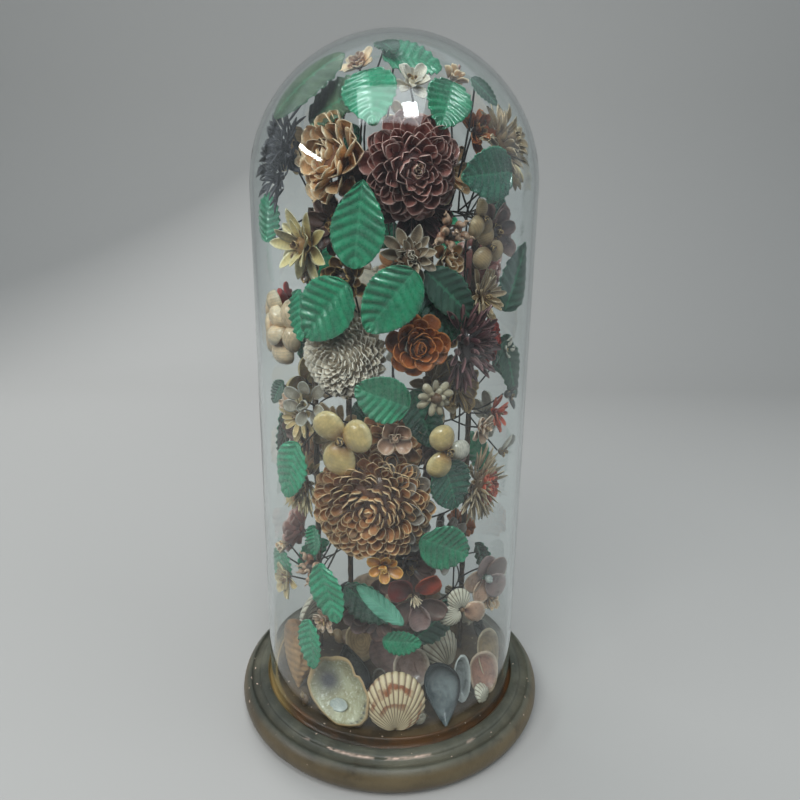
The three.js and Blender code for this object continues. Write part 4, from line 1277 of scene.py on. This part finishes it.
def mussel_mesh(long, wide, deep, finish="mussel"):
    """The hollow side of a mussel: a drop shape, its beak at -Y."""
    def face(u, v):
        half = wide / 2 * (0.06 + 0.94 * sin(pi * u ** 1.5) ** 0.6 if 0 < u < 1 else 0.06)
        hollow = 1 - (1 - v * v) ** 0.8 * (1 - (2 * u - 1) ** 4)
        return (v * half + 0.08 * long * sin(pi * u), long * (u - 0.5), deep * (hollow - 0.8))
    marks = {"mark": lambda u, v: min(1.0, 0.95 * max(u - 0.6, 0) / 0.3 + 0.9 * abs(v) ** 6)}
    return slab("mussel", face, 1.1, finish, 20, 14, False, marks)


def cup_mesh(long, wide, deep, finish, square=0.9):
    return dish("cup", long, wide, deep, finish, 1.3, 0.0, 0.03, 9, 40, square=square)


# Each large shell: its form, its tilt, spin and turn as it leans, how far its middle is moved from
# its solid's, and its slot.
FLOOR = {
    "rock_shell": (rock_mesh(54, 35, 28), 12, -12, 34, (-6, -7, 0), "shell_rock"),
    "ormer": (ormer_mesh(57, 43, 12), 30, -58, 0, (1, -3, 0), "shell_nacre"),
    "striped_cockle": (cockle_mesh(42, 41, 12, 21, "stripes", 0.9), 16, 0, 0, (0, 0, 0), "shell_cream"),
    "mussel_shell": (mussel_mesh(46, 28, 8), 18, -4, 0, (0, 0, 0), "shell_blue"),
    "white_cockle": (cockle_mesh(33, 31, 10, 14, "pale_ribs", 1.1), 20, -16, -40, (0, 0, 0), "shell_white"),
    "cup_shell": (cup_mesh(32, 31, 8, "cup_mauve"), 26, 0, 0, (0, 0, 0), "shell_pink"),
    "pink_cup_shell": (cup_mesh(32, 26, 7, "russet", 0.85), 20, 0, -34, (3, 0, 0), "shell_pink"),
}

for node, (mesh, tilt, spin, turn, moved_by, slot) in FLOOR.items():
    low, high = (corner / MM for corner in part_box(node))
    middle = (low + high) / 2 + Vector(moved_by)
    place = wall_place(degrees(atan2(middle.x, -middle.y)), STAND_HEIGHT, STAND_REACH, tilt, turn, spin)
    piece = stand(node + "_whole", mesh, place, slot, middle, [node])
    if node == "ormer":
        place.translation = Vector(points_of(piece.data).mean(axis=0)) * MM
        scar = dish("scar", 15, 9.5, 1.4, "scar", 0.7, 0, 0.06, 5, 28)
        settle("ormer_scar", [moved(scar, (0, 0, 40), (-7, -4, -0.6))], place, "shell_nacre")


def floor_shell(name, mesh, bearing, reach, tilt, spin, turn, slot):
    middle = Vector(polar(radians(bearing), reach))
    return stand(name, mesh, wall_place(bearing, STAND_HEIGHT, reach, tilt, turn, spin), slot, middle)


# Each small shell: its form, its bearing and reach, its tilt, spin and turn, and its slot.
FLOOR_SMALL = [
    ("dark_mussel", mussel_mesh(38, 26, 8, "dark_mussel"), -33, 52, 24, 158, 34, "shell_blue"),
    ("small_cup", cup_mesh(14, 11, 5, "smoky"), -11, 42, 24, 0, 0, "shell_grey"),
    ("whelk", cup_mesh(36, 14, 9, "whelk"), 45, 77, 14, 6, -20, "shell_white"),
    ("pale_oval", cup_mesh(32, 24, 7, "olive"), -68, 27, 14, -14, 60, "shell_grey"),
    ("purple_wedge", mussel_mesh(40, 26, 8, "mauve"), -12, 18, 26, 160, 0, "shell_plum"),
    ("glass_snail", snail(15, 14, 2.4, "jingle", 30, 12), 15, 86, 50, 0, 0, "shell_grey"),
    ("oyster_right", cup_mesh(46, 24, 9, "tan_dry", 0.9), 66, 84, 10, -10, -36, "shell_pink"),
    ("snail_left", snail(12, 12, 2.4, "cockle", 30, 12), -64, 58, 40, 0, 0, "shell_white"),
    ("dark_cup", cup_mesh(24, 22, 7, "dark_mauve"), 44, 40, 30, 0, 0, "shell_plum"),
    ("snail_grit_left", snail(12, 10, 2.4, "olive", 24, 9), -44, 90, 60, 90, 0, "shell_grey"),
    ("snail_grit_front", snail(9, 8, 2.4, "cockle", 24, 9), 6, 88, 60, 70, 0, "shell_white"),
    ("clam_grit_right", cockle_mesh(15, 14, 5, 11, "pale_ribs", 0.4), 50, 90, 50, 30, 0, "shell_white"),
]
for row in FLOOR_SMALL:
    floor_shell(*row)

# Shells round the back: their bearing, reach, length and width.
FLOOR_BACK = [(-116, 78, 38, 34), (-142, 74, 36, 34), (-164, 76, 38, 36), (172, 74, 42, 38),
              (150, 76, 38, 34), (122, 74, 40, 36), (94, 80, 36, 30), (-170, 44, 34, 30), (130, 40, 32, 28),
              (-100, 44, 30, 26)]
FLOOR_KINDS = [
    lambda long, wide: cockle_mesh(long, wide, long * 0.28, 15, "pale_ribs", 0.9),
    lambda long, wide: mussel_mesh(long, wide * 0.7, 8),
    lambda long, wide: cup_mesh(long, wide, 8, "pink", 0.85),
    lambda long, wide: cockle_mesh(long, wide, long * 0.28, 17, "stripes", 0.8),
    lambda long, wide: snail(long * 0.8, wide * 0.7, 3, "olive", 36, 12),
]
for number, (bearing, reach, long, wide) in enumerate(FLOOR_BACK):
    mesh = FLOOR_KINDS[number % 5](long, wide)
    floor_shell(f"floor_back_{number}", mesh, bearing, reach, 22, number * 37 % 40 - 20, 0, "shell_white")

# Small flowers, buds and leaves that fill the gaps


def small(name, build, bearing, height, reach, radius, deep, slot, turn=0):
    place = wall_place(bearing, height, reach - deep, None, turn)
    settle(name, build(radius, deep), place, slot)
    wired(place)


def small_leaf(name, bearing, height, reach, spin, long, wide, finish, tilt=None, turn=0):
    place = wall_place(bearing, height, reach, tilt, turn, spin)
    made = leaf(name, long, wide, finish, LEAF_BELLY, radians(spin), fine=False)
    settle(name, [made], place, "waxed_cloth")
    leaf_wire(place, long)


# Each small flower: what makes it, its bearing, height, reach, radius, depth and slot, and how far
# it turns from its bearing.
PEACH = loose("peach", 7, 2, 0.6, 0.4)
SMALL_FLOWERS = [
    ("snails_upper", snail_bunch, 27, 371, 82, 13, 8, "shell_pink"),
    ("peach_flower", PEACH, 48, 243, 86, 14, 7, "shell_pink"),
    ("grey_disc", loose("jingle", 1, 1, 1.4, 1.2), 76, 215, 88, 14, 6, "shell_grey", -20),
    ("brown_bud", loose("tan", 5, 3, 0.7, 0.5, (5, 40)), -76, 137, 90, 9, 8, "shell_brown", 20),
    ("snails_left", snail_bunch, -42, 140, 88, 14, 9, "shell_pink"),
    ("pale_petals_left", loose("straw", 6, 2, 0.8, 0.5), -70, 114, 90, 15, 8, "shell_tan", 25),
    ("peach_cluster", PEACH, -34, 104, 88, 13, 8, "shell_pink"),
    ("dark_petals_right", loose("dark_mussel", 4, 1, 0.9, 0.6), 78, 258, 90, 15, 6, "shell_blue", -20),
    ("orange_spray", loose("coral_red", 7, 2, 0.8, 0.3), 72, 246, 84, 14, 8, "shell_red", -10),
    ("orange_behind", loose("orange", 7, 2, 0.8, 0.4), 48, 430, 74, 15, 9, "shell_orange", -10),
    ("clams_right", valve_flower("olive", 3, start=-20), 52, 362, 84, 15, 8, "shell_grey", -10),
    ("tan_buds_right", loose("tan", 6, 3, 0.7, 0.5, (10, 60)), 30, 355, 72, 15, 9, "shell_tan"),
    ("dry_right", loose("tan_dry", 10, 3, 0.8, 0.24), 58, 330, 76, 20, 9, "shell_tan", -10),
    ("mauve_right", loose("dark_mauve", 6, 2, 0.8, 0.6), 66, 372, 78, 20, 9, "shell_plum", -20),
    ("straw_left", loose("straw", 8, 2, 0.8, 0.3), -60, 245, 80, 18, 9, "shell_tan", 20),
    ("brown_left", loose("brown", 7, 3, 0.7, 0.5), -54, 350, 72, 16, 9, "shell_brown"),
    ("peach_left", PEACH, -66, 252, 84, 13, 8, "shell_pink", 16),
    ("dark_left", loose("dark_mauve", 7, 2, 0.8, 0.5), -74, 228, 74, 20, 9, "shell_plum", 20),
    ("white_bud_right", loose("white_clam", 6, 2, 0.6, 0.36, (10, 60)), 78, 292, 88, 12, 7,
     "shell_white", -20),
    ("petal_right_low", loose("cockle", 3, 1, 0.9, 0.6), 78, 118, 90, 14, 6, "shell_white", -30),
    ("buds_right_low", loose("tan", 6, 3, 0.7, 0.5), 74, 96, 86, 16, 9, "shell_tan", -20),
]
for row in SMALL_FLOWERS:
    small(*row)

# Open flowers between the uprights: finish, petals, rows and petal width, then the same as above.
INNER_FLOWERS = [
    ("brown", "rust", 9, 3, 0.4, -4, 235, 60, 26, 12, "shell_brown"),
    ("mauve", "dark_mauve", 8, 3, 0.5, 14, 140, 62, 26, 12, "shell_plum"),
    ("dry", "tan_dry", 10, 3, 0.3, 34, 270, 58, 26, 12, "shell_tan"),
    ("plum", "maroon", 10, 3, 0.3, 16, 385, 60, 26, 12, "shell_maroon"),
    ("grey", "smoky", 7, 2, 0.6, -30, 170, 60, 24, 12, "shell_grey"),
    ("low", "dark_mauve", 7, 3, 0.5, -12, 100, 56, 26, 12, "shell_plum"),
    ("left", "brown", 8, 3, 0.4, -38, 300, 58, 22, 12, "shell_brown"),
    ("right", "smoky", 8, 3, 0.4, 44, 150, 60, 24, 12, "shell_grey"),
    ("right_mid", "brown", 9, 3, 0.4, 54, 268, 62, 24, 12, "shell_brown"),
    ("right_low", "dark_mauve", 8, 3, 0.5, 40, 214, 58, 24, 12, "shell_plum"),
    ("left_mid", "tan_dry", 9, 3, 0.4, -48, 232, 58, 24, 12, "shell_tan"),
    ("left_low", "brown", 8, 3, 0.4, -52, 180, 60, 22, 12, "shell_brown"),
    ("top", "dark_mauve", 8, 3, 0.5, -14, 400, 56, 24, 12, "shell_plum"),
    ("top_right", "tan", 8, 3, 0.4, 36, 408, 62, 20, 10, "shell_tan"),
    ("upper_left", "dark_mauve", 8, 3, 0.5, -42, 376, 62, 20, 10, "shell_plum"),
]
for name, finish, petals, rows, wide, *place in INNER_FLOWERS:
    small("inner_" + name, loose(finish, petals, rows, 0.8, wide), *place)
small("crown_bud", loose("white_clam", 6, 2, 0.7, 0.5), 9, 453, 66, 13, 7, "shell_white")

# Each small leaf: its bearing, height and reach, its stalk-to-tip way, length, width and finish,
# and for some its tilt and how far it turns from its bearing.
# The lighter and darker greens are painted light and painted shade.
SMALL_LEAVES = [
    ("leaf_tip_low", 5.4, 99, 88, 96, 27, 17, "leaf", 10),
    ("leaf_bottom_left", -39, 84, 90, 174, 39, 22, "leaf_bright"),
    ("leaf_left_back", -76, 380, 88, 10, 33, 22, "leaf_bright", None, 46),
    ("leaf_dark_top_left", -46, 458, 76, 50, 58, 34, "leaf_olive", 24, 30),
    ("leaf_dark_behind", -30, 446, 66, 64, 46, 30, "leaf_olive"),
    ("leaf_jagged_right", 76, 342, 88, 20, 50, 28, "leaf_shade", None, -46),
    ("leaf_mid_back", -48, 318, 81, 176, 34, 22, "leaf_bright"),
    ("leaf_left_bottom", -76, 118, 88, 170, 33, 24, "leaf_bright", None, 44),
    ("leaf_small_left", -38, 165, 86, 176, 22, 15, "leaf"),
    ("leaf_crown_small", -8, 482, 34, 150, 20, 16, "leaf_shade"),
    ("leaf_crown_right", 42, 452, 80, 140, 22, 18, "leaf_shade"),
    ("leaf_low_back", 32, 96, 66, 60, 44, 30, "leaf_shade"),
    ("leaf_behind_daisy", 26, 322, 70, 150, 44, 30, "leaf_deep"),
    ("leaf_olive_right", 30, 332, 74, 130, 50, 26, "leaf_shade"),
    ("leaf_under_clams", 20, 250, 62, 160, 44, 28, "leaf_deep"),
    ("leaf_left_edge", -78, 258, 86, 215, 22, 14, "leaf_shade", None, 40),
    ("leaf_right_edge", 77, 276, 88, 160, 46, 20, "leaf_shade", None, -44),
    ("leaf_low_middle", -14, 112, 64, 120, 44, 30, "leaf_deep"),
]
for row in SMALL_LEAVES:
    small_leaf(*row)

# The back: what makes each flower, its bearing, height and radius, and each leaf's bearing and height.
BACK_FLOWERS = [
    ("straw", loose("straw", 9, 3, 0.8, 0.34), 104, 420, 24),
    ("olive", valve_flower("olive", 3), -112, 426, 20),
    ("peach", PEACH, -140, 396, 18),
    ("brown", loose("brown", 8, 3, 0.8, 0.5), 142, 300, 22),
    ("white", valve_flower("white_clam", 4), 108, 232, 20),
    ("cream", valve_flower("cream", 5), -146, 252, 22),
    ("red", loose("red", 7, 3, 0.8, 0.5), -104, 318, 18),
    ("mauve", loose("mauve", 6, 2, 0.9, 0.7), 156, 186, 20),
    ("tan", loose("tan", 8, 4, 0.7, 0.5), -126, 190, 24),
    ("snails", snail_bunch, 116, 156, 18),
    ("grey", loose("jingle", 7, 1, 0.8, 0.6), 176, 268, 20),
    ("rust", loose("rust", 9, 3, 0.8, 0.5), 178, 340, 20),
    ("orange", loose("orange", 7, 4, 0.7, 0.6), 132, 118, 18),
    ("pink", PEACH, -160, 116, 20),
    ("plum", loose("plum", 9, 4, 0.7, 0.5), -108, 128, 22),
    ("top", loose("cream", 7, 2, 0.8, 0.5), 175, 462, 20),
]
for name, build, bearing, height, radius in BACK_FLOWERS:
    small("back_" + name, build, bearing, height, 88, radius, 9, "shell_brown")
BACK_LEAVES = [(150, 370), (-170, 375), (120, 385), (-138, 350), (165, 300), (-165, 215), (122, 190),
               (-130, 282), (148, 150), (-142, 150), (100, 282), (-98, 215), (170, 432), (-150, 440),
               (110, 92), (-125, 90)]
for number, (bearing, height) in enumerate(BACK_LEAVES):
    # Two in three take the darker green of painted shade, the rest the lighter green of painted light.
    finish = "leaf_deep" if number % 3 else "leaf_bright"
    small_leaf(f"back_leaf_{number}", bearing, height, 88, number * 67 % 360, 42, 30, finish)

# Uprights and wires

WIRE_RADIUS = 0.65
HOOP_REACH = 56
HOOP_LEVELS = (104, 174, 244, 314, 384)


def tube(name, path, radius, finish, sides):
    """A round bar along a path of points in millimetres."""
    points = [Vector(point) for point in path]
    rings = []
    side = None
    for i, point in enumerate(points):
        way = (points[min(i + 1, len(points) - 1)] - points[max(i - 1, 0)]).normalized()
        if side is None:
            side = way.orthogonal().normalized()
        side = (side - way * side.dot(way)).normalized()
        other = way.cross(side)
        size = radius(i / (len(points) - 1)) if callable(radius) else radius
        ways = [2 * pi * k / sides for k in range(sides)]
        rings.append([tuple(point + (side * cos(way) + other * sin(way)) * size) for way in ways])
    return rounds(name, [[tuple(points[0])], *rings, [tuple(points[-1])]], finish)


for side in ("right", "back_right", "back_left", "left"):
    low, high = (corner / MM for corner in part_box("upright_" + side))
    x, y = (low.x + high.x) / 2, (low.y + high.y) / 2
    path = [(x, y, low.z + (high.z - low.z) * i / 60) for i in range(61)]
    bark = tube("upright", path, lambda share: 2.2 + 0.3 * sin(share * 150), "upright", 10)
    settle(f"upright_{side}_stem", [bark], identity, "upright_wood", ["upright_" + side])


def hoop(level):
    path = [polar(2 * pi * i / 48, HOOP_REACH, level) for i in range(48)]
    return tube("hoop", path + path[:1], WIRE_RADIUS, "wire", 6)


def branch(end):
    """A bent wire from the nearest hoop to the back of a flower or a leaf."""
    level = min(HOOP_LEVELS, key=lambda each: abs(each - end.z))
    bearing = atan2(end.x, -end.y)
    foot = Vector(polar(bearing, HOOP_REACH, level))
    reach = (end - foot).length
    sway = Vector((cos(bearing), sin(bearing), 0)) * rng.uniform(-0.12, 0.12) * reach
    lift = Vector((0, 0, rng.uniform(-0.1, 0.06) * reach))
    path = [foot.lerp(end, i / 7) + (sway + lift) * sin(pi * i / 7) for i in range(8)]
    return tube("branch", path, WIRE_RADIUS, "wire", 6)


wires = [hoop(level) for level in HOOP_LEVELS] + [branch(end) for end in wire_ends]
for bearing in (-30, 60, 180):
    path = [polar(radians(bearing), HOOP_REACH, HOOP_LEVELS[0] + 28 * i) for i in range(11)]
    wires.append(tube("rib", path, WIRE_RADIUS, "wire", 6))
settle("bound_wires", wires, identity, "dark_wire", ["branch_wires"])

# Floor, light and camera


def stage_floor():
    """A pale floor that sweeps up far behind."""
    sweep = [radians(-90 + 90 * i / 16) for i in range(17)]
    path = [(-3.0, 0.0), (1.1, 0.0)] + [(1.1 + 0.9 * cos(angle), 0.9 + 0.9 * sin(angle)) for angle in sweep]
    path.append((2.0, 4.0))
    points = [(x, y, z) for y, z in path for x in (-4.0, 4.0)]
    faces = [(2 * i, 2 * i + 1, 2 * i + 3, 2 * i + 2) for i in range(len(path) - 1)]
    mesh = bpy.data.meshes.new("stage_floor")
    mesh.from_pydata(points, [], faces)
    mesh.shade_smooth()
    made, _, shader, _ = material("pale_floor")
    shader.inputs["Base Color"].default_value = rgb(160, 160, 158)
    shader.inputs["Roughness"].default_value = 0.7
    mesh.materials.append(made)
    linked("stage_floor", mesh)


stage_floor()


def lamp(name, spot, aim, size, power, colour=(1, 1, 1), roll=0):
    light = bpy.data.lights.new(name, "AREA")
    light.shape = "RECTANGLE"
    light.size, light.size_y = size
    light.energy = power
    light.color = colour
    holder = bpy.data.objects.new(name, light)
    holder.location = spot
    turn = (Vector(aim) - Vector(spot)).to_track_quat("-Z", "Y").to_matrix()
    holder.rotation_euler = (turn @ Matrix.Rotation(radians(roll), 3, "Z")).to_euler()
    bpy.context.scene.collection.objects.link(holder)
    return holder


for softbox in (
    lamp("key", (-0.9, -1.5, 1.7), (0, 0, 0.25), (1.2, 1.0), 27, (1, 0.98, 0.95)),
    lamp("fill", (1.6, -0.7, 0.7), (0, 0, 0.25), (1.2, 1.2), 10, (0.95, 0.98, 1)),
    lamp("back", (-0.9, 1.3, 1.2), (0, 0, 0.3), (1.2, 0.8), 16),
):
    softbox.visible_glossy = False
    softbox.visible_transmission = False
lamp("window", (0.31, -1.11, 1.87), (0, 0, 0.3), (0.3, 0.34), 7, (0.95, 0.98, 1))
lamp("sky_patch", (-0.08, -1.1, 2.1), (0, 0, 0.35), (1.5, 1.0), 14, (0.92, 0.97, 1))
lamp("tube", (-1.35, -0.615, 0.928), (0, 0, 0.35), (0.6, 0.06), 4.5, roll=-18)

world = bpy.data.worlds.new("studio")
world.use_nodes = True
sky = world.node_tree
way = add(sky, "ShaderNodeTexCoord").outputs["Generated"]
ahead = add(sky, "ShaderNodeSeparateXYZ", {0: way}).outputs[1]
pale = rgb(214, 222, 228)
dim = blend(sky, ramp(sky, ahead, -0.75, 0.15), rgb(22, 24, 26), pale)
rays = add(sky, "ShaderNodeLightPath").outputs
mirrored = calc(sky, "MULTIPLY", rays["Is Glossy Ray"], rays["Is Reflection Ray"])
background = sky.nodes["Background"].inputs
feed(sky, background[0], blend(sky, mirrored, pale, dim))
background[1].default_value = 0.64
scene = bpy.context.scene
scene.world = world
scene.view_settings.view_transform = "Standard"
scene.cycles.caustics_refractive = False
scene.cycles.caustics_reflective = False

SENSOR = 36
FRAME_WIDTH = 800
FOCAL_PIXELS = 620
MIDDLE_COLUMN = 392.2
EYE = Vector((0, -0.4583, 0.3657))
PITCH = radians(14.43)
ROLL = radians(0.51)


def photo_camera():
    lens = bpy.data.cameras.new("photo_view")
    lens.sensor_width = SENSOR
    lens.lens = FOCAL_PIXELS / FRAME_WIDTH * SENSOR
    lens.shift_x = (FRAME_WIDTH / 2 - MIDDLE_COLUMN) / FRAME_WIDTH
    lens.clip_start = 0.02
    ahead = Vector((0, cos(PITCH), -sin(PITCH)))
    level_up = Vector((0, sin(PITCH), cos(PITCH)))
    right = Vector((cos(ROLL), 0, 0)) + level_up * sin(ROLL)
    up = level_up * cos(ROLL) - Vector((sin(ROLL), 0, 0))
    view = bpy.data.objects.new("photo_view", lens)
    view.matrix_world = Matrix.Translation(EYE) @ Matrix((right, up, -ahead)).transposed().to_4x4()
    scene.collection.objects.link(view)
    scene.camera = view


photo_camera()
